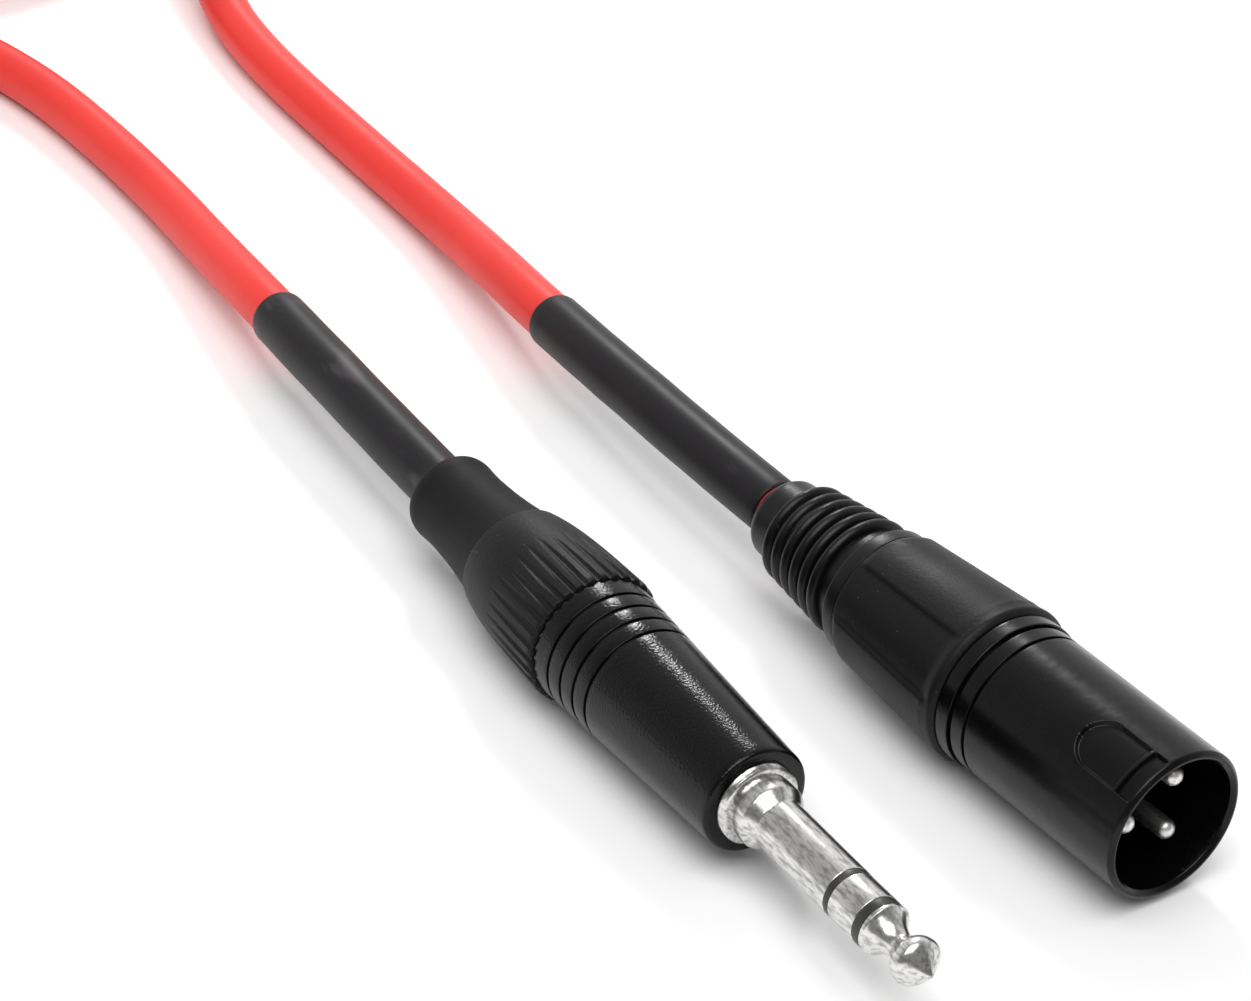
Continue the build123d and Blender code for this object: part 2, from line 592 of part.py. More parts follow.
# ---------------------------------------------------------------- jack chuck, nut and boot
JACK_CHUCK_REAR = JACK_JACKET_BACK + JACK_CHUCK_LENGTH * 0.55
with BuildPart() as jack_chuck:
    front = JACK_CHUCK_REAR - JACK_CHUCK_LENGTH
    throat = JACK_JACKET_BACK + SLIDE_GAP
    collet = [
        (JACK_CHUCK_R - CHUCK_WALL, front),
        (JACK_CHUCK_R, front),
        (JACK_CHUCK_R, front + 0.4 * JACK_CHUCK_LENGTH),
        (JACK_CHUCK_JAW_R, JACK_CHUCK_REAR),
        (CHUCK_BORE_R, JACK_CHUCK_REAR),
        (CHUCK_BORE_R, throat),
        (JACK_CHUCK_R - CHUCK_WALL, throat - 2),
    ]
    revolve(profile(JACK, collet), JACK_AXIS)
    with BuildSketch(JACK_FACE.offset(-JACK_CHUCK_REAR)):
        Rectangle(2 * BARREL_REAR_R, CHUCK_SLOT)
        Rectangle(CHUCK_SLOT, 2 * BARREL_REAR_R)
    extrude(amount=JACK_CHUCK_REAR - throat + 1, mode=Mode.SUBTRACT)
save(jack_chuck.part, "jack_chuck")

with BuildPart() as jack_nut:
    nut_bore_rear_r = JACK_CHUCK_JAW_R + SLIDE_GAP
    with BuildSketch(JACK):
        with BuildLine():
            Polyline(
                (JACK_SPIGOT_BORE_R, JACK_SPIGOT_LENGTH - BARREL_REAR),
                (JACK_SPIGOT_R, JACK_SPIGOT_LENGTH - BARREL_REAR),
                (JACK_SPIGOT_R, -BARREL_REAR - SEAT_GAP),
                (NUT_FRONT_R, -BARREL_REAR - SEAT_GAP),
            )
            Spline(
                (NUT_FRONT_R, -BARREL_REAR - SEAT_GAP),
                (NUT_FRONT_R - 0.5, -BARREL_REAR - 0.6 * NUT_LENGTH),
                (NUT_REAR_R, -NUT_REAR),
                tangents=[(-0.12, -1), (-0.5, -1)],
            )
            Polyline(
                (NUT_REAR_R, -NUT_REAR),
                (JACK_BOOT_PLUG_R + SEAT_GAP, -NUT_REAR),
                (JACK_BOOT_PLUG_R + SEAT_GAP, -JACK_CHUCK_REAR - 0.8),
                (nut_bore_rear_r, -JACK_CHUCK_REAR - 0.8),
                (JACK_SPIGOT_BORE_R, -JACK_CHUCK_REAR + 0.6 * JACK_CHUCK_LENGTH),
                (JACK_SPIGOT_BORE_R, JACK_SPIGOT_LENGTH - BARREL_REAR),
            )
        make_face()
    revolve(axis=JACK_AXIS)
    with BuildSketch(JACK_FACE.offset(-BARREL_REAR)):
        with PolarLocations(NUT_FRONT_R, NUT_FLUTES):
            Circle(FLUTE_R)
    extrude(amount=-NUT_LENGTH, mode=Mode.SUBTRACT)
save(jack_nut.part, "jack_nut")

with BuildPart() as jack_boot:
    with BuildSketch(JACK):
        with BuildLine():
            Polyline(
                (BOOT_BORE_R, JACK_BOOT_PLUG_LENGTH - NUT_REAR),
                (JACK_BOOT_PLUG_R, JACK_BOOT_PLUG_LENGTH - NUT_REAR),
                (JACK_BOOT_PLUG_R, -NUT_REAR - SEAT_GAP),
                (JACK_BOOT_FRONT_R, -NUT_REAR - SEAT_GAP),
            )
            Spline(
                (JACK_BOOT_FRONT_R, -NUT_REAR - SEAT_GAP),
                (JACK_BOOT_WAIST_R, -NUT_REAR - 0.68 * JACK_BOOT_LENGTH),
                (JACK_BOOT_WAIST_R, -JACK_BOOT_REAR + 1.6),
                (BOOT_BORE_R + 0.5, -JACK_BOOT_REAR),
                tangents=[(-0.3, -1), (-1, -0.15)],
            )
            Polyline(
                (BOOT_BORE_R + 0.5, -JACK_BOOT_REAR),
                (BOOT_BORE_R, -JACK_BOOT_REAR),
                (BOOT_BORE_R, JACK_BOOT_PLUG_LENGTH - NUT_REAR),
            )
        make_face()
    revolve(axis=JACK_AXIS)
save(jack_boot.part, "jack_boot")

# ---------------------------------------------------------------- jack wiring
JACK_WIRES = (
    ("jack_drain_wire", SLEEVE_REAR + SLEEVE_LUG_LENGTH, SLEEVE_LUG_HEIGHT, DRAIN_R, 75.0),
    ("jack_cold_core", RING_END + RING_LUG_LENGTH - LUG_OVERLAP, -RING_LUG_HEIGHT, CORE_R, 315.0),
    ("jack_hot_core", ROD_END + TIP_LUG_LENGTH - LUG_OVERLAP, TIP_LUG_HEIGHT, CORE_R, 195.0),
)
for node, lug_end, height, radius, angle in JACK_WIRES:
    inner = (CORE_CIRCLE_R * math.cos(math.radians(angle)), CORE_CIRCLE_R * math.sin(math.radians(angle)))
    beside = height + math.copysign(radius + LUG_THICKNESS / 2 + SEAT_GAP, height)
    stations = (
        (inner, JACK_JACKET_BACK - SEAT_GAP),
        (inner, JACK_JACKET_BACK - 2.0),
        ((0.0, beside), lug_end),
        ((0.0, beside), lug_end - 2.0),
    )
    corners, radii = route(
        [JACK_FACE.from_local_coords(Vector(*spot, -back)) for spot, back in stations]
    )
    with BuildPart() as wire:
        with BuildLine():
            FilletPolyline(corners, radius=radii)
        with BuildSketch(Plane(corners[0], z_dir=corners[1] - corners[0])):
            Circle(radius)
        sweep()
    save(wire.part, node)

# ---------------------------------------------------------------- the cable between the plugs
# each run leaves its plug straight, sinks to the surface, and swings out to the coil
COIL_FLOOR_Z = CABLE_R + STRAP_THICKNESS + STRAP_GAP / 2
TURN_PITCH = 2 * CABLE_R + TURN_GAP
LAYER_RISE = TURN_PITCH * math.sqrt(3) / 2
COIL_TOP_Z = COIL_FLOOR_Z + 2 * LAYER_RISE
ENTRY_R = COIL_INNER_TURN_R + 2 * TURN_PITCH
EXIT_R = COIL_INNER_TURN_R + TURN_PITCH

JACK_RUN = [
    on_axis(JACK, JACK_JACKET_BACK),
    on_axis(JACK, JACK_BOOT_REAR + 1),
    (10.8, -99.5, 8.4),
    (7.0, -121.0, 5.6),
    (3.8, -139.0, FLOOR_Z + 0.3),
    (2.5, -159.0, FLOOR_Z),
    (2.8, -181.0, FLOOR_Z),
    (7.4, -201.0, FLOOR_Z),
    (16.4, -219.0, FLOOR_Z + 0.2),
    (COIL_CENTRE[0] + ENTRY_R - 1.2, COIL_CENTRE[1] + 22, COIL_FLOOR_Z - 0.2),
    (COIL_CENTRE[0] + ENTRY_R, COIL_CENTRE[1], COIL_FLOOR_Z),
]
XLR_RUN = [
    on_axis(XLR, XLR_JACKET_BACK),
    on_axis(XLR, BOOT_REAR + 1),
    (-19.0, -78.0, 9.4),
    (-23.0, -98.0, 6.9),
    (-26.8, -118.0, FLOOR_Z + 0.6),
    (-28.6, -143.0, FLOOR_Z),
    (-30.4, -171.0, FLOOR_Z),
    (-34.0, -190.0, FLOOR_Z + 0.4),
    (-40.2, -206.0, FLOOR_Z + 4.8),
    (COIL_CENTRE[0] - EXIT_R + 4.6, COIL_CENTRE[1] + 38, COIL_TOP_Z - 2.6),
    (COIL_CENTRE[0] - EXIT_R + 0.8, COIL_CENTRE[1] + 20, COIL_TOP_Z + 1),
    (COIL_CENTRE[0] - EXIT_R, COIL_CENTRE[1], COIL_TOP_Z + 1),
]
for node, points in (("cable_jack_run", JACK_RUN), ("cable_xlr_run", XLR_RUN)):
    corners, radii = route([tuple(point) for point in points])
    with BuildPart() as cable:
        with BuildLine() as path:
            FilletPolyline(corners, radius=radii)
        with BuildSketch(Plane(corners[0], z_dir=corners[1] - corners[0])):
            Circle(CABLE_R)
        sweep()
    length = sum(edge.length for edge in path.edges())
    expected = math.pi * CABLE_R**2 * length
    print(node, "length", round(length, 1), "volume ratio", round(cable.part.volume / expected, 4))
    print(node, "radii", [round(radius, 1) for radius in radii])
    save(cable.part, node)

# heat-shrink sleeves: the XLR's stops just short of its boot, the jack's runs up inside its boot
SHRINKS = (
    ("xlr_heat_shrink", XLR_RUN[1], XLR_RUN[2], SHRINK_BARE_CABLE, XLR_SHRINK_LENGTH),
    ("jack_heat_shrink", JACK_RUN[1], JACK_RUN[2], -JACK_SHRINK_INSIDE, JACK_SHRINK_LENGTH),
)
for node, start, end, gap, length in SHRINKS:
    run = Vector(*end) - Vector(*start)
    with BuildPart() as shrink:
        with BuildSketch(Plane(Vector(*start) + run.normalized() * gap, z_dir=run)):
            Circle(SHRINK_R)
            Circle(CABLE_R, mode=Mode.SUBTRACT)
        extrude(amount=length)
    save(shrink.part, node)

# ---------------------------------------------------------------- the coil and its strap
COIL_AXIS = Axis((*COIL_CENTRE, 0), (0, 0, 1))
TURN_HALF = TURN_PITCH / 2
with BuildPart() as cable_coil:
    # three turns side by side with two in the hollows above them, and a sixth on top at the far half
    for start, layers in ((0, 2), (180, 3)):
        outwards = Vector(1, 0, 0).rotate(Axis.Z, start)
        half = Plane((*COIL_CENTRE, 0), x_dir=outwards, z_dir=outwards.cross(Vector(0, 0, 1)))
        rise = (layers - 1) * LAYER_RISE
        narrowing = (layers - 1) * TURN_HALF
        with BuildSketch(half):
            with BuildLine():
                Polyline(
                    (COIL_INNER_TURN_R - CABLE_R, COIL_FLOOR_Z - CABLE_R),
                    (ENTRY_R + CABLE_R, COIL_FLOOR_Z - CABLE_R),
                    (ENTRY_R + CABLE_R, COIL_FLOOR_Z + TURN_HALF),
                    (ENTRY_R + CABLE_R - narrowing, COIL_FLOOR_Z + rise + CABLE_R),
                    (COIL_INNER_TURN_R - CABLE_R + narrowing, COIL_FLOOR_Z + rise + CABLE_R),
                    (COIL_INNER_TURN_R - CABLE_R, COIL_FLOOR_Z + TURN_HALF),
                    close=True,
                )
            make_face()
        revolve(axis=COIL_AXIS, revolution_arc=180)
save(cable_coil.part, "cable_coil")

with BuildPart() as coil_tie:
    # a hook-and-loop strap round the far side of the bundle
    inner_y = COIL_CENTRE[1] - (COIL_INNER_TURN_R - CABLE_R) + STRAP_CLEAR
    outer_y = COIL_CENTRE[1] - (ENTRY_R + CABLE_R) - STRAP_GAP
    hole_low = STRAP_THICKNESS
    hole_high = COIL_TOP_Z + CABLE_R + STRAP_GAP
    middle = ((inner_y + outer_y) / 2, (hole_low + hole_high) / 2)
    with BuildSketch(Plane.YZ.offset(COIL_CENTRE[0] - STRAP_WIDTH / 2)):
        with Locations(middle):
            RectangleRounded(
                inner_y - outer_y + 2 * STRAP_THICKNESS,
                hole_high - hole_low + 2 * STRAP_THICKNESS,
                2 * STRAP_THICKNESS,
            )
            Rectangle(inner_y - outer_y, hole_high - hole_low, mode=Mode.SUBTRACT)
    extrude(amount=STRAP_WIDTH)
save(coil_tie.part, "coil_tie")
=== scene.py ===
import json
import math

import bmesh
import bpy
from mathutils import Matrix, Vector, geometry, noise


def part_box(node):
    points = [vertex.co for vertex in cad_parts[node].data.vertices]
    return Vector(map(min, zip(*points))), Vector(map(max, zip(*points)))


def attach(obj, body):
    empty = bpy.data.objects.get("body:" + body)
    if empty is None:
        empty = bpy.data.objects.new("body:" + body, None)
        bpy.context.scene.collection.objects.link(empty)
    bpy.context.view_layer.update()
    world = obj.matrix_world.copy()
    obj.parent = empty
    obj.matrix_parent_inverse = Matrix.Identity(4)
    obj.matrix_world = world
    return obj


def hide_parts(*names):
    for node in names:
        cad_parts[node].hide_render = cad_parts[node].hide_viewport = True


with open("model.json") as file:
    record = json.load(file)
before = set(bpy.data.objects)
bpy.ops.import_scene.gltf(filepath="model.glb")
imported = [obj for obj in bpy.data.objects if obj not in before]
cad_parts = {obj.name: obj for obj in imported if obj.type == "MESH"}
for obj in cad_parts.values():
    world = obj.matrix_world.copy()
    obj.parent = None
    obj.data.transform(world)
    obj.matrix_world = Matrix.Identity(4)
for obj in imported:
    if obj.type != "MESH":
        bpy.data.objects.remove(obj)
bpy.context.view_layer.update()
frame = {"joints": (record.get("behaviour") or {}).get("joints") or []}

scene = bpy.context.scene
MM = 0.001

# ------------------------------------------------------------------ the table, the light and the camera
# The lead lies on a pale table top under a wide softbox, with white card round it, the darker side of
# the room behind the camera and one small lamp at the back that draws a narrow streak on each plug.
TABLE_SIZE = 4.0
CARD_GLOW = 0.85
ROOM_GLOW = 0.22

table_mesh = bpy.data.meshes.new("table_top")
table_mesh.from_pydata(
    [(x * TABLE_SIZE, y * TABLE_SIZE, 0) for x, y in ((-1, -1), (1, -1), (1, 1), (-1, 1))], [], [(0, 1, 2, 3)]
)
table_top = bpy.data.objects.new("table_top", table_mesh)
scene.collection.objects.link(table_top)
table_paint = bpy.data.materials.new("pale_table")
table_paint.use_nodes = True
table_paint.node_tree.nodes["Principled BSDF"].inputs["Base Color"].default_value = (0.93, 0.93, 0.93, 1)
table_paint.node_tree.nodes["Principled BSDF"].inputs["Roughness"].default_value = 0.7
table_mesh.materials.append(table_paint)

camera = bpy.data.objects.new("camera", bpy.data.cameras.new("camera"))
scene.collection.objects.link(camera)
camera.data.lens = 112.23
camera.data.sensor_width = 36.0
camera.data.clip_start = 0.01
camera.location = (0.2411, 0.27905, 0.2685)
CAMERA_AIM = Vector((-0.51093, -0.66573, -0.54383))
CAMERA_UP = Vector((-0.27306, -0.47418, 0.83702))
camera.rotation_mode = "QUATERNION"
camera_axes = Matrix((CAMERA_AIM.cross(CAMERA_UP), CAMERA_UP, -CAMERA_AIM)).transposed()
camera.rotation_quaternion = camera_axes.to_quaternion()
scene.camera = camera

studio = bpy.data.worlds.new("studio")
scene.world = studio
studio.use_nodes = True
room = studio.node_tree.nodes
facing = room.new("ShaderNodeVectorMath")
facing.operation = "DOT_PRODUCT"
facing.inputs[1].default_value = (-0.52, -0.62, -0.58)
studio.node_tree.links.new(room.new("ShaderNodeTexCoord").outputs["Generated"], facing.inputs[0])
glow = room.new("ShaderNodeMapRange")
glow.interpolation_type = "SMOOTHSTEP"
glow.inputs["From Min"].default_value = -0.62
glow.inputs["From Max"].default_value = 0.30
glow.inputs["To Min"].default_value = ROOM_GLOW
glow.inputs["To Max"].default_value = CARD_GLOW
studio.node_tree.links.new(facing.outputs["Value"], glow.inputs["Value"])
studio.node_tree.links.new(glow.outputs["Result"], room["Background"].inputs["Strength"])
room["Background"].inputs["Color"].default_value = (1.0, 1.0, 1.0, 1)


def softbox(name, place, aim, size, power):
    lamp = bpy.data.objects.new(name, bpy.data.lights.new(name, "AREA"))
    scene.collection.objects.link(lamp)
    lamp.data.shape = "RECTANGLE"
    lamp.data.size, lamp.data.size_y = size
    lamp.data.energy = power
    lamp.location = place
    lamp.rotation_mode = "QUATERNION"
    lamp.rotation_quaternion = (Vector(aim) - Vector(place)).to_track_quat("-Z", "Y")


softbox("overhead_softbox", (0.28, 0.22, 0.95), (0.0, -0.05, 0.0), (0.9, 0.9), 10.0)
softbox("back_strip", (-0.41, -0.67, 0.60), (0.0, 0.0, 0.0), (0.13, 0.13), 2.6)
scene.view_settings.view_transform = "Standard"

# ------------------------------------------------------------------ the cable
# One round two-core screened cable in a soft red PVC jacket, 6.8 mm across. It leaves both plugs
# straight, sinks to the table, and its spare length is wound in a tied coil of five and a half turns.
CABLE_R = 3.4
JACKET_BACK_XLR = 39.0
JACKET_BACK_JACK = 57.0
XLR_BOOT_REAR = 71.5
JACK_BOOT_REAR = 86.8


def plug_frame(joint_name, front_y=None):
    """A plug's own frame: X to its side, Y along its axis towards its nose, Z up."""
    joint = next(j for j in frame["joints"] if j["name"] == joint_name)
    nose = -Vector(joint["axis"]).normalized()
    origin = Vector(joint["pos_m"])
    if front_y is not None:
        origin += nose * (front_y - origin.y)
    turn = Matrix((nose.cross(Vector((0, 0, 1))), nose, Vector((0, 0, 1)))).transposed()
    return Matrix.Translation(origin) @ turn.to_4x4()


XLR = plug_frame("xlr_bushing_turn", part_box("xlr_shell")[1].y)
JACK = plug_frame("jack_nut_turn")


def on_axis(plug, back):
    return plug @ Vector((0, -back * MM, 0))


coil_low, coil_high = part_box("cable_coil")
coil_x = (coil_low.x + coil_high.x) / 2
coil_y = coil_low.y + (coil_high.x - coil_low.x) / 2
TURN_PITCH = 6.9
INNER_TURN = 29.1
OUTER_TURN = INNER_TURN + 2 * TURN_PITCH
TOP_TURN = INNER_TURN + TURN_PITCH
LAYER_RISE = TURN_PITCH * math.sqrt(3) / 2
LAYER_Z = [4.5 + LAYER_RISE * layer for layer in range(3)]
FLOOR_Z = CABLE_R + 0.05

# both runs, from the plugs to the coil
xlr_run = [on_axis(XLR, JACKET_BACK_XLR), on_axis(XLR, XLR_BOOT_REAR + 1)]
xlr_run += [
    Vector(point) * MM
    for point in (
        (-19.0, -78.0, 9.4),
        (-23.0, -98.0, 6.9),
        (-26.8, -118.0, FLOOR_Z + 0.6),
        (-28.6, -143.0, FLOOR_Z),
        (-30.4, -171.0, FLOOR_Z),
        (-34.0, -190.0, FLOOR_Z + 0.4),
        (-40.2, -206.0, FLOOR_Z + 4.8),
    )
]
xlr_run.append(Vector((coil_x - (TOP_TURN - 4.6) * MM, coil_y + 38 * MM, (LAYER_Z[2] - 2.6) * MM)))
xlr_run.append(Vector((coil_x - (TOP_TURN - 0.8) * MM, coil_y + 20 * MM, (LAYER_Z[2] + 1) * MM)))
jack_run = [on_axis(JACK, JACKET_BACK_JACK), on_axis(JACK, JACK_BOOT_REAR + 1)]
jack_run += [
    Vector(point) * MM
    for point in (
        (10.8, -99.5, 8.4),
        (7.0, -121.0, 5.6),
        (3.8, -139.0, FLOOR_Z + 0.3),
        (2.5, -159.0, FLOOR_Z),
        (2.8, -181.0, FLOOR_Z),
        (7.4, -201.0, FLOOR_Z),
        (16.4, -219.0, FLOOR_Z + 0.2),
    )
]
jack_run.append(Vector((coil_x + (OUTER_TURN - 1.2) * MM, coil_y + 22 * MM, (LAYER_Z[0] - 0.2) * MM)))


def eased(value, start, end):
    part = min(1.0, max(0.0, (value - start) / (end - start)))
    return part * part * (3 - 2 * part)


# the coil grows clockwise from the east side, where the jack's run comes in: three turns inwards on
# the table, two outwards in the hollows above them and a last half turn on top
TURN_STEP = 15
COIL_DEGREES = 1980
CROWN_RISE = 0.9
coil_turns = []
for turned_by in range(0, COIL_DEGREES + 1, TURN_STEP):
    radius = OUTER_TURN - TURN_PITCH * (eased(turned_by, 300, 360) + eased(turned_by, 660, 720))
    radius += TURN_PITCH * (eased(turned_by, 1050, 1110) / 2 + eased(turned_by, 1380, 1440))
    radius -= TURN_PITCH * eased(turned_by, 1770, 1830) / 2
    height = LAYER_Z[0] + LAYER_RISE * (eased(turned_by, 990, 1050) + eased(turned_by, 1725, 1785))
    # it lies a little higher where it passes over the crown of a turn
    over = eased(turned_by, 990, 1050) * (1 - eased(turned_by, 1080, 1120))
    over += eased(turned_by, 1365, 1395) * (1 - eased(turned_by, 1425, 1455))
    over += eased(turned_by, 1725, 1785) * (1 - eased(turned_by, 1800, 1840))
    over += eased(turned_by, 1940, COIL_DEGREES)
    radius /= math.cos(math.radians(TURN_STEP / 2))
    angle = math.radians(-turned_by)
    coil_turns.append(
        Vector(
            (
                coil_x + radius * MM * math.cos(angle),
                coil_y + radius * MM * math.sin(angle),
                (height + CROWN_RISE * over) * MM,
            )
        )
    )

cable_points = xlr_run + coil_turns[::-1] + jack_run[::-1]
cable_curve = bpy.data.curves.new("cable", "CURVE")
cable_curve.dimensions = "3D"
cable_curve.resolution_u = 8
cable_line = cable_curve.splines.new("NURBS")
cable_line.points.add(len(cable_points) - 1)
for knot, point in zip(cable_line.points, cable_points):
    knot.co = (*point, 1)
cable_line.order_u = 3
cable_line.use_endpoint_u = True


def line_of(curve):
    """The points of a curve that has no thickness yet, and the length run at each."""
    probe = bpy.data.objects.new("probe", curve)
    mesh = bpy.data.meshes.new_from_object(probe)
    points = [vertex.co.copy() for vertex in mesh.vertices]
    bpy.data.objects.remove(probe)
    bpy.data.meshes.remove(mesh)
    run = [0.0]
    for before, after in zip(points, points[1:]):
        run.append(run[-1] + (after - before).length)
    return points, run


cable_path, cable_run = line_of(cable_curve)
cable_curve.bevel_depth = CABLE_R * MM
cable_curve.bevel_resolution = 7
cable_curve.use_fill_caps = True
cable = bpy.data.objects.new("cable", cable_curve)
scene.collection.objects.link(cable)


def surface(name, **values):
    """A material with one Principled shader, and the values that are the same all over it."""
    material = bpy.data.materials.new(name)
    material.use_nodes = True
    shader = material.node_tree.nodes["Principled BSDF"]
    for key, value in values.items():
        socket = shader.inputs[key.replace("_", " ").title().replace("Ior", "IOR")]
        socket.default_value = (*value, 1) if isinstance(value, tuple) else value
    return material


def node_in(tree, kind, links=(), **values):
    """A node with its settings and input values, fed by (its input, another node, that node's output)."""
    node = tree.nodes.new(kind)
    for key, value in values.items():
        if hasattr(node, key):
            setattr(node, key, value)
        else:
            node.inputs[key.replace("_", " ")].default_value = value
    for to_socket, source, from_socket in links:
        tree.links.new(source.outputs[from_socket], node.inputs[to_socket])
    return node


def new_effect(name, inputs, outputs):
    """An empty shader node group with named inputs and outputs."""
    group = bpy.data.node_groups.new(name, "ShaderNodeTree")
    for socket, default in inputs.items():
        kind = "NodeSocketFloat"
        group.interface.new_socket(socket, in_out="INPUT", socket_type=kind).default_value = default
    for socket in outputs:
        group.interface.new_socket(socket, in_out="OUTPUT", socket_type="NodeSocketFloat")
    return group, group.nodes.new("NodeGroupInput"), group.nodes.new("NodeGroupOutput")


# the skin that a mould or an extrusion die leaves: fine grain and slow uneven patches
skin, skin_in, skin_out = new_effect("moulded_skin", {"Grain": 3000.0, "Patch": 60.0}, ("Height", "Patches"))
skin_place = node_in(skin, "ShaderNodeTexCoord")
skin_grain = node_in(
    skin, "ShaderNodeTexNoise", [("Vector", skin_place, "Object"), ("Scale", skin_in, "Grain")], Detail=3.0
)
skin_patch = node_in(
    skin, "ShaderNodeTexNoise", [("Vector", skin_place, "Object"), ("Scale", skin_in, "Patch")], Detail=4.0
)
skin.links.new(skin_grain.outputs["Fac"], skin_out.inputs["Height"])
skin.links.new(skin_patch.outputs["Fac"], skin_out.inputs["Patches"])


def place_effect(material, group, **values):
    """Puts an effect's group in a material, with its own values."""
    node = material.node_tree.nodes.new("ShaderNodeGroup")
    node.node_tree = group
    for key, value in values.items():
        node.inputs[key].default_value = value
    return node


def bump(material, height, output, strength, depth):
    """Feeds a height into the material's normal; depth is in millimetres."""
    tree = material.node_tree
    node = node_in(
        tree, "ShaderNodeBump", [("Height", height, output)], Strength=strength, Distance=depth * MM
    )
    tree.links.new(node.outputs["Normal"], tree.nodes["Principled BSDF"].inputs["Normal"])
    return node


def tinted(material, mask, output, plain, marked, low=0.35, high=0.65):
    """Base colour that goes from plain to marked as the mask goes from low to high."""
    tree = material.node_tree
    ramp = node_in(tree, "ShaderNodeValToRGB", [("Fac", mask, output)])
    ramp.color_ramp.elements[0].position = low
    ramp.color_ramp.elements[0].color = (*plain, 1)
    ramp.color_ramp.elements[1].position = high
    ramp.color_ramp.elements[1].color = (*marked, 1)
    tree.links.new(ramp.outputs["Color"], tree.nodes["Principled BSDF"].inputs["Base Color"])
    return ramp


def roughened(material, mask, output, smooth, rough):
    """Roughness that follows a mask."""
    tree = material.node_tree
    node = node_in(tree, "ShaderNodeMapRange", [("Value", mask, output)], To_Min=smooth, To_Max=rough)
    tree.links.new(node.outputs["Result"], tree.nodes["Principled BSDF"].inputs["Roughness"])
    return node


jacket_red = surface("red_pvc_jacket", Specular_Ior_Level=0.3)
jacket_skin = place_effect(jacket_red, skin, Grain=1800.0, Patch=45.0)
tinted(jacket_red, jacket_skin, "Patches", (0.80, 0.040, 0.030), (0.74, 0.034, 0.026))
roughened(jacket_red, jacket_skin, "Patches", 0.36, 0.50)
bump(jacket_red, jacket_skin, "Height", 0.35, 0.05)
cable_curve.materials.append(jacket_red)
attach(cable, "lead")
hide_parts("cable_jack_run", "cable_xlr_run", "cable_coil")

# ------------------------------------------------------------------ the heat-shrink sleeves
# A black polyolefin sleeve is shrunk on the cable behind each plug. The one at the XLR stops just
# short of the boot and leaves a ring of bare jacket, the one at the jack runs up inside its boot.
SHRINK_R = 3.8
SHRINK_LENGTHS = {"xlr_heat_shrink": 53.0, "jack_heat_shrink": 56.0}
SHRINK_STARTS = {
    "xlr_heat_shrink": XLR_BOOT_REAR + 1.5 - JACKET_BACK_XLR,
    "jack_heat_shrink": JACK_BOOT_REAR - 8 - JACKET_BACK_JACK,
}


def build(name, vertices, faces, material, body, slot, *stands_for):
    """A smooth-shaded piece of the lead that rides on one of its bodies."""
    mesh = bpy.data.meshes.new(name)
    mesh.from_pydata(vertices, [], faces)
    shape = bmesh.new()
    shape.from_mesh(mesh)
    bmesh.ops.remove_doubles(shape, verts=shape.verts, dist=0.5e-6)
    bmesh.ops.dissolve_degenerate(shape, edges=shape.edges, dist=0.5e-6)
    bmesh.ops.recalc_face_normals(shape, faces=shape.faces)
    for face in shape.faces:
        face.smooth = True
    shape.to_mesh(mesh)
    shape.free()
    mesh.set_sharp_from_angle(angle=math.radians(50))
    mesh.materials.append(material)
    piece = bpy.data.objects.new(name, mesh)
    scene.collection.objects.link(piece)
    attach(piece, body)
    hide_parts(*stands_for)
    return piece


def ring_faces(rows, columns, closed=True):
    """Quads between rows of points; each row is a ring, and closed joins the last row to the first."""
    faces = []
    for row in range(rows if closed else rows - 1):
        for column in range(columns):
            across, down = (column + 1) % columns, (row + 1) % rows
            near, far = row * columns, down * columns
            faces.append((near + column, near + across, far + across, far + column))
    return faces


def at_length(path, run, length):
    """The place and direction at a length along a path."""
    index = next((i for i, reached in enumerate(run) if reached > length), len(run) - 1)
    before, after = path[index - 1], path[index]
    part = (length - run[index - 1]) / (run[index] - run[index - 1])
    # the direction is eased between neighbouring stretches, so a sleeve bends without facets
    ahead = (path[min(index + 1, len(path) - 1)] - before).normalized()
    behind = (after - path[max(index - 2, 0)]).normalized()
    return before.lerp(after, part), behind.lerp(ahead, part).normalized()


shrink_black = surface("heat_shrink_black", Specular_Ior_Level=0.22)

# pale rub marks in one direction, where the sleeve has been handled
scuff, scuff_in, scuff_out = new_effect(
    "scuff_marks", {"Scale": 400.0, "Turn": 0.0, "Amount": 0.62}, ("Mask",)
)
scuff_place = node_in(scuff, "ShaderNodeTexCoord")
scuff_turn = node_in(
    scuff, "ShaderNodeVectorRotate", [("Vector", scuff_place, "Object"), ("Angle", scuff_in, "Turn")]
)
scuff_turn.rotation_type = "Z_AXIS"
scuff_stretch = node_in(
    scuff, "ShaderNodeVectorMath", [("Vector", scuff_turn, "Vector")], operation="MULTIPLY"
)
scuff_stretch.inputs[1].default_value = (1.0, 0.22, 1.0)
scuff_lines = node_in(
    scuff,
    "ShaderNodeTexNoise",
    [("Vector", scuff_stretch, "Vector"), ("Scale", scuff_in, "Scale")],
    Detail=5.0,
)
scuff_areas = node_in(
    scuff, "ShaderNodeTexNoise", [("Vector", scuff_place, "Object")], Scale=70.0, Detail=2.0
)
scuff_both = node_in(
    scuff, "ShaderNodeMath", [(0, scuff_lines, "Fac"), (1, scuff_areas, "Fac")], operation="MULTIPLY"
)
scuff_twice = node_in(scuff, "ShaderNodeMath", [(0, scuff_both, "Value")], operation="MULTIPLY")
scuff_twice.inputs[1].default_value = 2.0
scuff_edge = node_in(scuff, "ShaderNodeMath", [(0, scuff_in, "Amount")], operation="ADD")
scuff_edge.inputs[1].default_value = 0.22
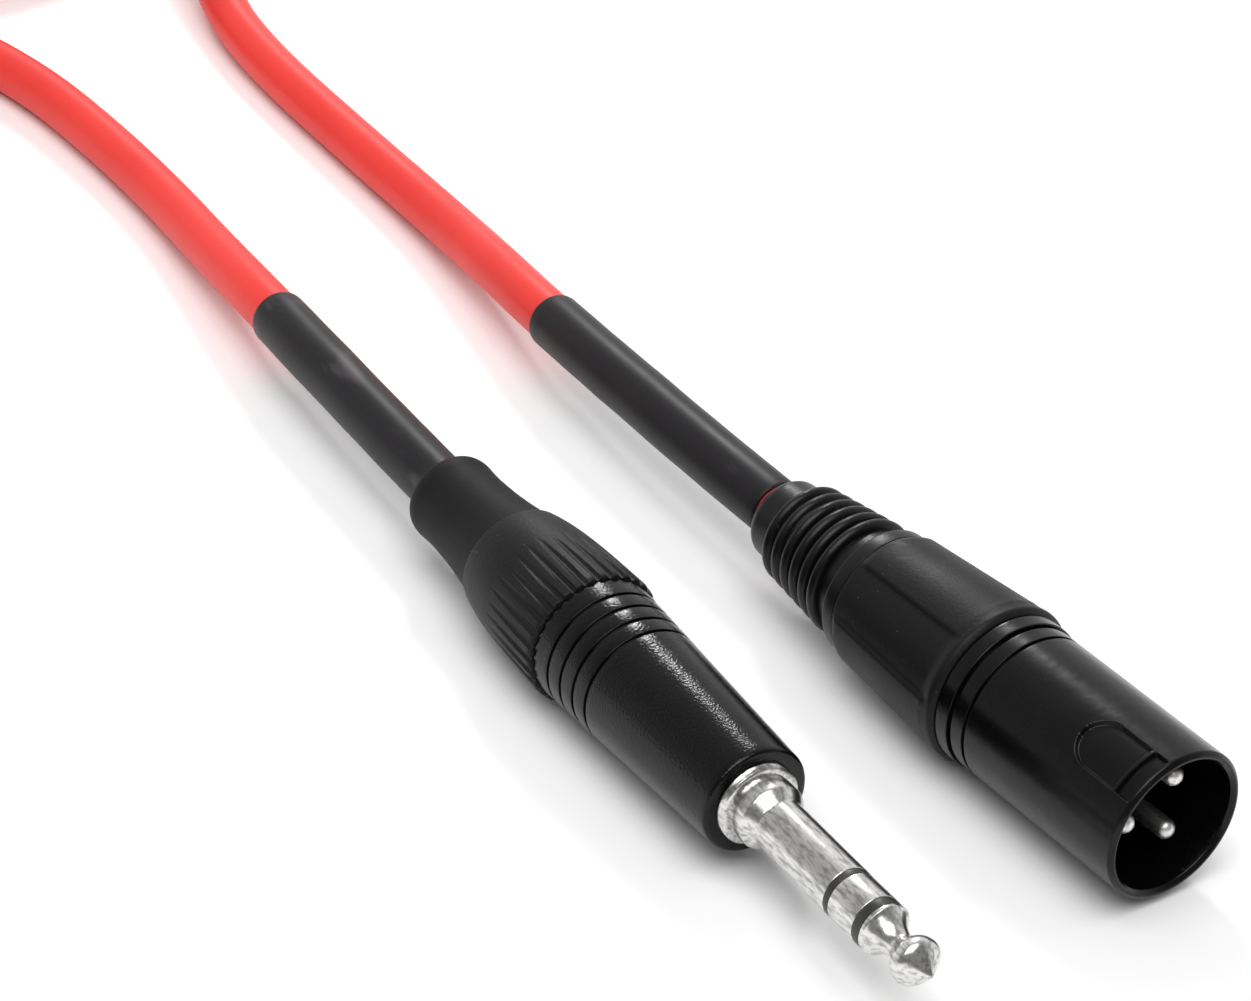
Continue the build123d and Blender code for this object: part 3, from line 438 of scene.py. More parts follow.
scuff_cut = node_in(
    scuff,
    "ShaderNodeMapRange",
    [("Value", scuff_twice, "Value"), ("From Min", scuff_in, "Amount"), ("From Max", scuff_edge, "Value")],
    interpolation_type="SMOOTHSTEP",
)
scuff.links.new(scuff_cut.outputs["Result"], scuff_out.inputs["Mask"])

shrink_skin = place_effect(shrink_black, skin, Grain=1500.0, Patch=90.0)
shrink_scuff = place_effect(shrink_black, scuff, Scale=260.0, Turn=math.radians(12), Amount=0.62)
tinted(shrink_black, shrink_scuff, "Mask", (0.011, 0.0095, 0.0112), (0.045, 0.041, 0.044), 0.0, 1.0)
roughened(shrink_black, shrink_skin, "Patches", 0.34, 0.52)
bump(shrink_black, shrink_skin, "Height", 0.4, 0.04)

SLEEVE_SIDES = 64
SLEEVE_ROWS = 36
cable_end = cable_run[-1] / MM
for name, start in SHRINK_STARTS.items():
    length = SHRINK_LENGTHS[name]
    # (radius, distance) round the sleeve's wall: outside, rounded far end, inside
    wall = [(SHRINK_R - 0.25, 0.0), (SHRINK_R - 0.05, 0.12), (SHRINK_R, 0.35)]
    wall += [
        (SHRINK_R, 0.35 + (length - 0.9) * step / SLEEVE_ROWS) for step in range(1, SLEEVE_ROWS + 1)
    ]
    wall += [(SHRINK_R - 0.06, length - 0.22), (SHRINK_R - 0.22, length - 0.05), (SHRINK_R - 0.36, length)]
    wall += [(CABLE_R - 0.15, length), (CABLE_R - 0.15, 0.0)]
    sleeve_points = []
    for radius, distance in wall:
        reached = start + distance
        if name == "jack_heat_shrink":
            reached = cable_end - reached
        centre, ahead = at_length(cable_path, cable_run, reached * MM)
        side = ahead.cross(Vector((0, 0, 1))).normalized()
        up = side.cross(ahead)
        for step in range(SLEEVE_SIDES):
            angle = 2 * math.pi * step / SLEEVE_SIDES
            out = side * math.cos(angle) + up * math.sin(angle)
            uneven = 0.05 * noise.noise((centre + out * radius * MM) * 160) if radius > CABLE_R else 0.0
            sleeve_points.append(centre + out * (radius + uneven) * MM)
    shown = name.replace("heat_shrink", "sleeve")
    sleeve_faces = ring_faces(len(wall), SLEEVE_SIDES)
    build(shown, sleeve_points, sleeve_faces, shrink_black, "lead", "shrink_black", name)

# ------------------------------------------------------------------ the coil's tie
# A black woven strap with hook-and-loop faces, 14 mm wide, goes once round the far side of the coil
# and closes on itself on top.
STRAP_THICKNESS = 1.0
STRAP_GAP = 0.1
STRAND_SIDES = 48
tie_low, tie_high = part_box("coil_tie")
tie_x = (tie_low.x + tie_high.x) / 2
strap_half = (tie_high.x - tie_low.x) / 2 / MM

strands = [(INNER_TURN + TURN_PITCH * k, LAYER_Z[0]) for k in (0, 1, 2)]
strands += [(INNER_TURN + TURN_PITCH * k, LAYER_Z[1]) for k in (0.5, 1.5)] + [(TOP_TURN, LAYER_Z[2])]
cloud = []
for radius, height in strands:
    for step in range(STRAND_SIDES):
        angle = 2 * math.pi * step / STRAND_SIDES
        reach = CABLE_R + STRAP_GAP
        cloud.append(
            Vector((coil_y / MM - radius + reach * math.cos(angle), height + reach * math.sin(angle)))
        )
hull = [cloud[i] for i in geometry.convex_hull_2d(cloud)]
around = [0.0]
for before, after in zip(hull, hull[1:] + hull[:1]):
    around.append(around[-1] + (after - before).length)
LOOP_STEPS = 150
loop = []
for step in range(LOOP_STEPS):
    target = around[-1] * step / LOOP_STEPS
    index = max(i for i, reached in enumerate(around[:-1]) if reached <= target)
    part = (target - around[index]) / (around[index + 1] - around[index])
    loop.append(hull[index].lerp(hull[(index + 1) % len(hull)], part))
loop_centre = sum(loop, Vector((0, 0))) / LOOP_STEPS
tie_black = surface(
    "woven_tie_black", Roughness=0.85, Specular_Ior_Level=0.25, Sheen_Weight=0.35, Sheen_Roughness=0.5
)

# threads over and under each other, laid out on the strap's own length and width
weave, weave_in, weave_out = new_effect("strap_weave", {"Threads": 1.6}, ("Height",))
weave_place = node_in(weave, "ShaderNodeTexCoord")
weave_scaled = node_in(
    weave,
    "ShaderNodeVectorMath",
    [("Vector", weave_place, "UV"), ("Scale", weave_in, "Threads")],
    operation="SCALE",
)
weave_check = node_in(weave, "ShaderNodeTexChecker", [("Vector", weave_scaled, "Vector")], Scale=1.0)
weave_check.inputs["Color1"].default_value = (1, 1, 1, 1)
weave_check.inputs["Color2"].default_value = (0, 0, 0, 1)
weave_fuzz = node_in(weave, "ShaderNodeTexNoise", [("Vector", weave_place, "UV")], Scale=2.4, Detail=4.0)
weave_sum = node_in(
    weave, "ShaderNodeMath", [(0, weave_check, "Fac"), (1, weave_fuzz, "Fac")], operation="ADD"
)
weave.links.new(weave_sum.outputs["Value"], weave_out.inputs["Height"])
tie_weave = place_effect(tie_black, weave, Threads=1.25)
tie_skin = place_effect(tie_black, skin, Grain=2500.0, Patch=110.0)
tinted(tie_black, tie_skin, "Patches", (0.014, 0.014, 0.015), (0.040, 0.040, 0.042))
bump(tie_black, tie_weave, "Height", 0.7, 0.22)


def strap_layer(name, inner, outer, first, count):
    """Part or all of the strap's loop, between two distances out from the bundle."""
    edge = 0.25 * (outer - inner)
    wide, less = strap_half, strap_half - edge
    rim = [(-less, inner), (less, inner), (wide, inner + edge), (wide, outer - edge)]
    rim += [(less, outer), (-less, outer), (-wide, outer - edge), (-wide, inner + edge)]
    points, lengthways = [], []
    for step in range(count):
        index = (first + step) % LOOP_STEPS
        here = loop[index]
        ahead = (loop[(index + 1) % LOOP_STEPS] - loop[index - 1]).normalized()
        away = Vector((ahead.y, -ahead.x))
        if away.dot(here - loop_centre) < 0:
            away = -away
        for across, out in rim:
            place = here + away * out
            points.append(Vector((tie_x + across * MM, place.x * MM, place.y * MM)))
            lengthways.append((step * around[-1] / LOOP_STEPS, across))
    faces = ring_faces(count, len(rim), closed=count == LOOP_STEPS)
    if count < LOOP_STEPS:
        faces += [tuple(range(len(rim)))[::-1], tuple(range(len(points) - len(rim), len(points)))]
    piece = build(name, points, faces, tie_black, "lead", "tie_black", "coil_tie")
    strap_uv = piece.data.uv_layers.new(name="strap")
    for corner in piece.data.loops:
        strap_uv.data[corner.index].uv = lengthways[corner.vertex_index]
    return piece


# the whole loop, and the end that is pressed down on top of it
END_BEFORE_TOP, END_STEPS = 4, 22
strap = strap_layer("strap", 0.0, STRAP_THICKNESS, 0, LOOP_STEPS)
end_first = max(range(LOOP_STEPS), key=lambda i: loop[i].y) - END_BEFORE_TOP
strap_end = strap_layer("strap_end", STRAP_THICKNESS - 0.02, STRAP_THICKNESS + 0.7, end_first, END_STEPS)

# ------------------------------------------------------------------ the XLR shell
# A turned tube with a thick gloss black lacquer. The rim is chamfered, a round-backed recess and a slot
# take the mating plug's spring latch, a keyway runs into the mouth, and two grooves end the tube.
LATCH_TURN, LATCH_HALF, LATCH_DEPTH = 58.0, 3.3, 0.5
DISH_FRONT, DISH_ROUND = 3.3, 8.0
SLOT_FRONT, SLOT_REAR = 0.7, 2.9
KEYWAY_TURN, KEYWAY_HALF, KEYWAY_DEPTH, KEYWAY_END = 94.0, 1.1, 0.6, 9.0
MOUTH_R, SHELL_R, FLANGE_R = 8.3, 9.5, 9.75


def turned(name, plug, corners, material, body, slot, node, columns=128, step=None, shift=None):
    """A piece turned about a plug's axis.

    Corners are (radius, back[, rounding]) round its closed wall. Columns is a number of sides or a list
    of angles. Shift gives a point's radius from its (radius, back, angle).
    """
    rows = []
    for index, corner in enumerate(corners):
        here, before = Vector(corner[:2]), Vector(corners[index - 1][:2])
        after = Vector(corners[(index + 1) % len(corners)][:2])
        if len(corner) == 2:
            rows.append(here)
            continue
        start = here + (before - here).normalized() * min(corner[2], 0.45 * (before - here).length)
        end = here + (after - here).normalized() * min(corner[2], 0.45 * (after - here).length)
        for part in (0, 0.25, 0.5, 0.75, 1):
            rows.append(start * (1 - part) ** 2 + here * 2 * part * (1 - part) + end * part**2)
    if step:
        finer = []
        for here, after in zip(rows, rows[1:] + rows[:1]):
            pieces = max(1, round((after - here).length / step))
            finer += [here.lerp(after, k / pieces) for k in range(pieces)]
        rows = finer
    angles = [360 * k / columns for k in range(columns)] if isinstance(columns, int) else columns
    points = []
    for radius, back in rows:
        for angle in angles:
            out = shift(radius, back, angle) if shift else radius
            turn = math.radians(angle)
            points.append(plug @ Vector((out * MM * math.cos(turn), -back * MM, out * MM * math.sin(turn))))
    return build(name, points, ring_faces(len(rows), len(angles)), material, body, slot, node)


def apart(angle, middle):
    """Degrees from middle to angle, between -180 and 180."""
    return (angle - middle + 180) % 360 - 180


def shell_shape(radius, back, angle):
    across = math.radians(apart(angle, LATCH_TURN)) * SHELL_R
    if radius > SHELL_R - 0.02 and back < 12.5:
        if back < DISH_ROUND:
            inside = min(LATCH_HALF - abs(across), back - DISH_FRONT)
        else:
            inside = LATCH_HALF - math.hypot(across, back - DISH_ROUND)
        slot = min(LATCH_HALF - abs(across), back - SLOT_FRONT, SLOT_REAR - back)
        return radius - LATCH_DEPTH * eased(max(inside, slot), 0.0, 0.22)
    if MOUTH_R - 0.02 < radius < MOUTH_R + 0.3 and back < KEYWAY_END + 1:
        keyed = min(KEYWAY_HALF - abs(math.radians(apart(angle, KEYWAY_TURN)) * MOUTH_R), KEYWAY_END - back)
        # a patch of fine ridges on the wall across from the keyway
        patch = eased(angle, 204, 207) * (1 - eased(angle, 248, 251)) * eased(back, 0.6, 0.9)
        patch *= 1 - eased(back, 2.5, 2.8)
        ridge = 0.035 * patch * (1 + math.cos(2 * math.pi * (angle / 2.6 + back / 0.55)))
        return radius + KEYWAY_DEPTH * eased(keyed, 0.0, 0.15) - ridge
    return radius


# orange peel in a lacquer, and pale specks painted into its colour: painted glints for the sparkle of fine
# metal flake, and dust caught in it
lacquer, lacquer_in, lacquer_out = new_effect(
    "lacquer_peel", {"Peel": 900.0, "Fleck": 4200.0}, ("Height", "Glints_And_Dust")
)
lacquer_place = node_in(lacquer, "ShaderNodeTexCoord")
peel = node_in(
    lacquer, "ShaderNodeTexNoise", [("Vector", lacquer_place, "Object"), ("Scale", lacquer_in, "Peel")]
)
peel.inputs["Detail"].default_value = 1.5
fleck = node_in(
    lacquer, "ShaderNodeTexNoise", [("Vector", lacquer_place, "Object"), ("Scale", lacquer_in, "Fleck")]
)
glint_and_dust_cut = node_in(lacquer, "ShaderNodeMapRange", [("Value", fleck, "Fac")], From_Min=0.66, From_Max=0.74)
lacquer.links.new(peel.outputs["Fac"], lacquer_out.inputs["Height"])
lacquer.links.new(glint_and_dust_cut.outputs["Result"], lacquer_out.inputs["Glints_And_Dust"])

# single specks of dust: a small dot in a share of the cells
speck, speck_in, speck_out = new_effect(
    "dust_specks", {"Scale": 700.0, "Size": 0.2, "Share": 0.25}, ("Mask",)
)
speck_place = node_in(speck, "ShaderNodeTexCoord")
speck_cells = node_in(
    speck, "ShaderNodeTexVoronoi", [("Vector", speck_place, "Object"), ("Scale", speck_in, "Scale")]
)
speck_dot = node_in(
    speck, "ShaderNodeMath", [(0, speck_cells, "Distance"), (1, speck_in, "Size")], operation="LESS_THAN"
)
speck_pick = node_in(speck, "ShaderNodeSeparateColor", [("Color", speck_cells, "Color")])
speck_some = node_in(
    speck, "ShaderNodeMath", [(0, speck_pick, "Red"), (1, speck_in, "Share")], operation="LESS_THAN"
)
speck_both = node_in(
    speck, "ShaderNodeMath", [(0, speck_dot, "Value"), (1, speck_some, "Value")], operation="MULTIPLY"
)
speck.links.new(speck_both.outputs["Value"], speck_out.inputs["Mask"])

shell_black = surface("shell_lacquer", Specular_Ior_Level=0.25)
shell_peel = place_effect(shell_black, lacquer, Peel=700.0, Fleck=4500.0)
shell_skin = place_effect(shell_black, skin, Grain=1200.0, Patch=120.0)
# pale specks in the colour: painted glints of metal flake, and dust
tinted(shell_black, shell_peel, "Glints_And_Dust", (0.002, 0.002, 0.0022), (0.012, 0.012, 0.013), 0.0, 1.0)
roughened(shell_black, shell_skin, "Patches", 0.14, 0.32)
bump(shell_black, shell_peel, "Height", 0.5, 0.05)

shell_angles = [k * 0.42 + 30 for k in range(180)] + [105.6 + k * 2.4 for k in range(41)]
shell_angles += [204 + k * 0.5 for k in range(96)] + [252 + k * 2.4 for k in range(57)]
shell_corners = [
    (MOUTH_R + 0.45, 0, 0.12), (SHELL_R - 0.45, 0, 0.15), (SHELL_R, 0.45, 0.15), (SHELL_R, 12.5),
    (SHELL_R, 25.0, 0.07), (SHELL_R - 0.35, 25.0), (SHELL_R - 0.35, 25.5), (SHELL_R, 25.5, 0.07),
    (SHELL_R, 27.4, 0.07), (SHELL_R - 0.35, 27.4), (SHELL_R - 0.35, 27.9), (FLANGE_R, 27.9, 0.12),
    (FLANGE_R, 30.0, 0.3), (8.65, 30.0), (8.65, 19.0), (MOUTH_R, 19.0), (MOUTH_R, 11.0),
    (MOUTH_R, 0.45, 0.12),
]
turned(
    "shell_xlr", XLR, shell_corners, shell_black, "lead", "shell_black", "xlr_shell", shell_angles, 0.12,
    shell_shape
)

# ------------------------------------------------------------------ the XLR contacts
# Three round silver-plated pins with rounded tips stand in the black insert. The plating is a little
# dull, with fine rings from the lathe.
rings, rings_in, rings_out = new_effect(
    "turning_rings", {"Rings": 9000.0, "Yaw": 0.0}, ("Height", "Blotches")
)
rings_place = node_in(rings, "ShaderNodeTexCoord")
rings_turn = node_in(
    rings, "ShaderNodeVectorRotate", [("Vector", rings_place, "Object"), ("Angle", rings_in, "Yaw")]
)
rings_turn.rotation_type = "Z_AXIS"
rings_flat = node_in(rings, "ShaderNodeVectorMath", [("Vector", rings_turn, "Vector")], operation="MULTIPLY")
rings_flat.inputs[1].default_value = (0.03, 1.0, 0.03)
rings_lines = node_in(
    rings, "ShaderNodeTexNoise", [("Vector", rings_flat, "Vector"), ("Scale", rings_in, "Rings")]
)
rings_long = node_in(rings, "ShaderNodeVectorMath", [("Vector", rings_turn, "Vector")], operation="MULTIPLY")
rings_long.inputs[1].default_value = (1.0, 0.25, 1.0)
rings_blotch = node_in(
    rings, "ShaderNodeTexNoise", [("Vector", rings_long, "Vector")], Scale=2200.0, Detail=6.0
)
rings.links.new(rings_lines.outputs["Fac"], rings_out.inputs["Height"])
rings.links.new(rings_blotch.outputs["Fac"], rings_out.inputs["Blotches"])

pin_silver = surface("pin_silver", Metallic=1.0)
pin_rings = place_effect(pin_silver, rings, Rings=7000.0)
tinted(pin_silver, pin_rings, "Blotches", (0.90, 0.89, 0.87), (0.66, 0.65, 0.64))
roughened(pin_silver, pin_rings, "Blotches", 0.28, 0.48)
bump(pin_silver, pin_rings, "Height", 0.25, 0.02)
for number in (1, 2, 3):
    pin_low, pin_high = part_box(f"xlr_pin_{number}")
    middle = (pin_low + pin_high) / 2
    pin_frame = Matrix.Translation((middle.x - XLR.translation.x, 0, middle.z - XLR.translation.z)) @ XLR
    pin_corners = [
        (0.0, 2.40), (0.38, 2.42), (0.72, 2.58), (0.99, 2.83), (1.15, 3.12), (1.2, 3.45), (1.2, 14.86),
        (1.44, 14.9), (1.44, 23.6), (1.5, 23.65), (1.5, 28.63), (1.0, 28.63), (1.0, 24.0), (0.0, 24.0),
    ]
    turned(
        f"contact_xlr_{number}", pin_frame, pin_corners, pin_silver, "lead", "pin_silver",
        f"xlr_pin_{number}", 48, 0.5
    )

# ------------------------------------------------------------------ the XLR insert and what lies behind it
# The moulded insert, its ground tag, the soldered wires and the slotted chuck keep their own shapes and
# get their materials: glass-filled plastic, tinned brass, bare copper and two coloured insulations.
def dress(material, *nodes):
    """Gives CAD nodes a material in place of their own."""
    for name in nodes:
        for place in bpy.data.objects[name].material_slots:
            place.material = material


insert_black = surface("insert_plastic", Specular_Ior_Level=0.4)
insert_skin = place_effect(insert_black, skin, Grain=2200.0, Patch=300.0)
tinted(insert_black, insert_skin, "Patches", (0.006, 0.006, 0.006), (0.014, 0.014, 0.014))
roughened(insert_black, insert_skin, "Patches", 0.30, 0.50)
bump(insert_black, insert_skin, "Height", 0.3, 0.03)
dress(insert_black, "xlr_insert")

tag_brass = surface("tinned_brass", Metallic=1.0)
tag_rings = place_effect(tag_brass, rings, Rings=5000.0)
tinted(tag_brass, tag_rings, "Blotches", (0.78, 0.66, 0.40), (0.60, 0.47, 0.26))
roughened(tag_brass, tag_rings, "Blotches", 0.25, 0.45)
bump(tag_brass, tag_rings, "Height", 0.3, 0.02)
dress(tag_brass, "xlr_ground_contact", "jack_sleeve_lug", "jack_ring_lug", "jack_tip_lug")

drain_copper = surface("bare_copper", Metallic=1.0)
drain_rings = place_effect(drain_copper, rings, Rings=4000.0)
tinted(drain_copper, drain_rings, "Blotches", (0.86, 0.46, 0.30), (0.62, 0.28, 0.16))
roughened(drain_copper, drain_rings, "Blotches", 0.25, 0.5)
bump(drain_copper, drain_rings, "Height", 0.6, 0.05)
dress(drain_copper, "xlr_drain_wire", "jack_drain_wire")

for name, plain, marked, wires in (
    ("core_white", (0.80, 0.79, 0.75), (0.70, 0.69, 0.64), ("xlr_cold_core", "jack_cold_core")),
    ("core_blue", (0.03, 0.12, 0.55), (0.02, 0.08, 0.42), ("xlr_hot_core", "jack_hot_core")),
):
    core = surface(name, Specular_Ior_Level=0.4)
    core_skin = place_effect(core, skin, Grain=2500.0, Patch=200.0)
    tinted(core, core_skin, "Patches", plain, marked)
    roughened(core, core_skin, "Patches", 0.35, 0.5)
    bump(core, core_skin, "Height", 0.25, 0.03)
    dress(core, *wires)

chuck_grey = surface("chuck_grey", Specular_Ior_Level=0.4)
chuck_skin = place_effect(chuck_grey, skin, Grain=1500.0, Patch=150.0)
tinted(chuck_grey, chuck_skin, "Patches", (0.30, 0.30, 0.31), (0.24, 0.24, 0.25))
roughened(chuck_grey, chuck_skin, "Patches", 0.4, 0.6)
bump(chuck_grey, chuck_skin, "Height", 0.35, 0.05)
dress(chuck_grey, "xlr_chuck", "jack_chuck")

# ------------------------------------------------------------------ the XLR grip
# The bushing that screws on the shell and closes the chuck: hard plastic with a satin skin, three soft
# raised pads for the fingers and a rounded lip. Handling leaves faint dust and rub marks on it.
PAD_MIDDLES, PAD_HALF, PAD_HEIGHT = (-30.0, 90.0, 210.0), 36.0, 0.45


def grip_shape(radius, back, angle):
    if back < 31.2 or radius < 8.2:
        return radius
    reach = max(math.radians(PAD_HALF - abs(apart(angle, middle))) * 9.2 for middle in PAD_MIDDLES)
    along = min(eased(back, 31.1, 32.7), 1 - eased(back, 49.9, 50.55))
    return radius + PAD_HEIGHT * along * eased(reach, -0.3, 0.35)


grip_black = surface("grip_satin", Specular_Ior_Level=0.2)
grip_skin = place_effect(grip_black, skin, Grain=2600.0, Patch=140.0)
grip_scuff = place_effect(grip_black, scuff, Scale=330.0, Turn=math.radians(-35), Amount=0.66)
grip_dust = place_effect(grip_black, speck, Scale=1700.0, Size=0.14, Share=0.08)
grip_marks = node_in(
    grip_black.node_tree, "ShaderNodeMath", [(0, grip_scuff, "Mask"), (1, grip_dust, "Mask")]
)
tinted(grip_black, grip_marks, "Value", (0.0045, 0.0045, 0.005), (0.05, 0.05, 0.054), 0.0, 1.6)
roughened(grip_black, grip_skin, "Patches", 0.38, 0.56)
bump(grip_black, grip_skin, "Height", 0.6, 0.06)
grip_corners = [
    (7.73, 24.4), (8.58, 24.4, 0.15), (8.58, 30.03), (9.80, 30.03, 0.2), (10.3, 30.6, 0.3), (10.3, 31.2, 0.3),
    (9.75, 32.6, 0.5), (8.4, 50.9, 0.25), (5.03, 50.9), (5.03, 46.5), (6.2, 46.5), (7.73, 30.0),
]
turned(
    "grip_xlr", XLR, grip_corners, grip_black, "xlr_bushing", "grip_black", "xlr_grip", 300, 0.45, grip_shape
)

# ------------------------------------------------------------------ the XLR boot
# A soft black strain relief pressed in the end of the bushing. Six round ribs, a size smaller each,
# let it flex, and a smooth collar ends it.
RIB_R, RIB_PITCH, RIB_REAR_BACK, RIB_REAR_CREST, RIB_GROWTH = 0.75, 2.06, 66.5, 6.6, 0.24
CORE_FRONT, CORE_LENGTH, CORE_FRONT_R, CORE_REAR_R = 53.3, 13.9, 7.05, 5.85
boot_corners = [(4.15, 46.5), (5.0, 46.5), (5.0, 50.93), (8.35, 50.93, 0.1), (8.3, 52.9, 0.3)]
for step in range(140):
    back = CORE_FRONT + 0.1 * step
    core_r = CORE_FRONT_R + (CORE_REAR_R - CORE_FRONT_R) * (back - CORE_FRONT) / CORE_LENGTH
    out = core_r
    for rib in range(6):
        off = back - (RIB_REAR_BACK - RIB_PITCH * rib)
        if abs(off) < RIB_R:
            crest = RIB_REAR_CREST + RIB_GROWTH * rib
            out = max(out, crest - RIB_R + math.sqrt(RIB_R**2 - off**2))
    boot_corners.append((out, back))
boot_corners += [(5.4, 67.5, 0.2), (5.3, 70.7, 0.5), (4.75, 71.5, 0.3), (4.15, 71.5, 0.1)]
boot_black = surface("boot_rubber", Specular_Ior_Level=0.28)
boot_skin = place_effect(boot_black, skin, Grain=1600.0, Patch=260.0)
boot_dust = place_effect(boot_black, speck, Scale=1100.0, Size=0.15, Share=0.10)
tinted(boot_black, boot_dust, "Mask", (0.003, 0.003, 0.0035), (0.03, 0.03, 0.033), 0.0, 1.0)
roughened(boot_black, boot_skin, "Patches", 0.26, 0.46)
bump(boot_black, boot_skin, "Height", 0.45, 0.04)
turned("boot_xlr", XLR, boot_corners, boot_black, "xlr_bushing", "boot_black", "xlr_boot", 128)

# ------------------------------------------------------------------ the jack's contacts
# Tip, ring and sleeve are turned brass with bright nickel, polished and then marked by sockets. Two black
# plastic rings keep them apart. The sleeve ends in a chamfer and the threaded collar that holds the barrel.
JACK_YAW = -math.atan2(JACK.col[1].x, JACK.col[1].y)
nickel = surface("bright_nickel", Metallic=1.0)
nickel_rings = place_effect(nickel, rings, Rings=6000.0, Yaw=-JACK_YAW)
tinted(nickel, nickel_rings, "Blotches", (0.74, 0.735, 0.725), (0.36, 0.352, 0.342), 0.45, 0.66)
roughened(nickel, nickel_rings, "Blotches", 0.12, 0.34)
bump(nickel, nickel_rings, "Height", 0.22, 0.02)


def smooth_line(points, pieces=5):
    """A smooth line through (radius, back) points."""
    padded = [points[0], *points, points[-1]]
    line = []
    for a, b, c, d in zip(padded, padded[1:], padded[2:], padded[3:]):
        for k in range(pieces):
            t = k / pieces
            line.append(
                tuple(
                    0.5
                    * (
                        2 * q
                        + (r - p) * t
                        + (2 * p - 5 * q + 4 * r - w) * t**2
                        + (3 * q - p - 3 * r + w) * t**3
                    )
                    for p, q, r, w in zip(a, b, c, d)
                )
            )
    return line + [points[-1]]


tip_line = smooth_line([
    (3.1, -7.27), (2.85, -7.48), (2.42, -8.0), (2.0, -8.65), (1.7, -9.4), (1.6, -10.05), (1.74, -10.65),
    (2.15, -11.2), (2.58, -11.7), (2.84, -12.25), (2.93, -12.8), (2.89, -13.2), (2.70, -13.55),
    (2.45, -13.82),
])
tip_corners = [(0.8, 39.8), (0.8, -6.75), (3.175, -6.75, 0.08), (3.175, -7.2, 0.1), *tip_line]
tip_corners += [(0.42, -15.52), (0.3, -15.62), (0.17, -15.7), (0.0, -15.73), (0.0, 39.8)]
turned("contact_tip", JACK, tip_corners, nickel, "lead", "nickel", "jack_tip_contact", 96)
ring_corners = [(1.3, -5.4), (3.175, -5.4, 0.1), (3.175, -0.95, 0.1), (1.9, -0.95), (1.9, 37.0), (1.3, 37.0)]
turned("contact_ring", JACK, ring_corners, nickel, "lead", "nickel", "jack_ring_contact", 96)
sleeve_corners = [(2.4, 0.0), (3.175, 0.0, 0.12), (3.175, 13.1, 0.2), (4.15, 14.5, 0.2), (4.15, 16.8)]
for thread in range(3):
    sleeve_corners += [(4.86, 16.84 + 0.32 * thread), (5.0, 16.98 + 0.32 * thread)]
sleeve_corners += [(5.0, 23.6), (6.1, 23.6), (6.1, 30.6), (2.4, 30.6)]
turned("contact_sleeve", JACK, sleeve_corners, nickel, "lead", "nickel", "jack_sleeve_contact", 96)

insulator_black = surface("insulator_black", Specular_Ior_Level=0.45)
insulator_skin = place_effect(insulator_black, skin, Grain=3000.0, Patch=400.0)
tinted(insulator_black, insulator_skin, "Patches", (0.012, 0.012, 0.012), (0.03, 0.03, 0.03))
roughened(insulator_black, insulator_skin, "Patches", 0.3, 0.5)
bump(insulator_black, insulator_skin, "Height", 0.3, 0.02)
rear_corners = [
    (1.93, -0.92), (3.16, -0.92, 0.08), (3.16, -0.03, 0.08), (2.37, -0.03), (2.37, 33.8), (1.93, 33.8)
]
turned(
    "spacer_rear", JACK, rear_corners, insulator_black, "lead", "insulator_black", "jack_rear_insulator", 96
)
front_corners = [
    (0.83, -6.72), (3.16, -6.72, 0.08), (3.16, -5.43, 0.08), (1.27, -5.43), (1.27, 38.6), (0.83, 38.6)
]
turned(
    "spacer_front", JACK, front_corners, insulator_black, "lead", "insulator_black",
    "jack_front_insulator", 96
)

# ------------------------------------------------------------------ the jack's barrel
# A slightly tapered brass barrel in gloss black lacquer, thick enough to show orange peel. Four grooves are
# turned near its rear end, and the lacquer lies unevenly on their edges.
BARREL_FRONT, BARREL_REAR, BARREL_FRONT_R, BARREL_REAR_R = 17.8, 52.1, 6.7, 8.25


def barrel_r(back):
    widening = (BARREL_REAR_R - BARREL_FRONT_R) * (back - BARREL_FRONT)
    return BARREL_FRONT_R + widening / (BARREL_REAR - BARREL_FRONT)


barrel_corners = [(5.03, BARREL_FRONT), (BARREL_FRONT_R, BARREL_FRONT, 0.5)]
barrel_corners += [(barrel_r(back), back) for back in range(20, 41, 4)]
for groove in (41.65, 44.2, 46.75, 49.3):
    here = barrel_r(groove)
    barrel_corners += [(here, groove - 0.5, 0.09), (here - 0.35, groove - 0.5, 0.05)]
    barrel_corners += [(here - 0.35, groove, 0.05), (here, groove, 0.09)]
barrel_corners += [(BARREL_REAR_R, BARREL_REAR, 0.15), (6.9, BARREL_REAR), (6.9, 44.5), (6.13, 44.5)]
barrel_corners += [(6.13, 23.57), (5.03, 23.57)]


def barrel_shape(radius, back, angle):
    """The lacquer pulls back unevenly from the grooves' edges."""
    if radius < 6.4 or back < 40:
        return radius
    turn = math.radians(angle)
    return radius + 0.02 * noise.noise(Vector((math.cos(turn) * 22, math.sin(turn) * 22, back * 3)))


barrel_black = surface("barrel_lacquer", Specular_Ior_Level=0.25)
barrel_peel = place_effect(barrel_black, lacquer, Peel=3600.0, Fleck=6200.0)
barrel_skin = place_effect(barrel_black, skin, Grain=1200.0, Patch=160.0)
# pale specks in the colour: painted glints of metal flake, and dust
tinted(barrel_black, barrel_peel, "Glints_And_Dust", (0.002, 0.002, 0.0022), (0.02, 0.02, 0.021), 0.0, 1.0)
roughened(barrel_black, barrel_skin, "Patches", 0.10, 0.24)
bump(barrel_black, barrel_peel, "Height", 0.8, 0.05)
turned(
    "barrel_jack", JACK, barrel_corners, barrel_black, "lead", "barrel_black", "jack_barrel", 160, 0.8,
    barrel_shape
)

# ------------------------------------------------------------------ the jack's nut
# The cap nut that closes the jack's chuck: satin black plastic with thirty-two flutes round its
# front, which run out as it narrows towards the boot. Specks of dust lie all over it.
NUT_REAR, FLUTES, FLUTE_R, NUT_LIP_R = 70.1, 32, 0.45, 8.8


def nut_r(back):
    part = (back - BARREL_REAR) / (NUT_REAR - BARREL_REAR)
    return NUT_LIP_R - 0.55 * part - 0.95 * part**4


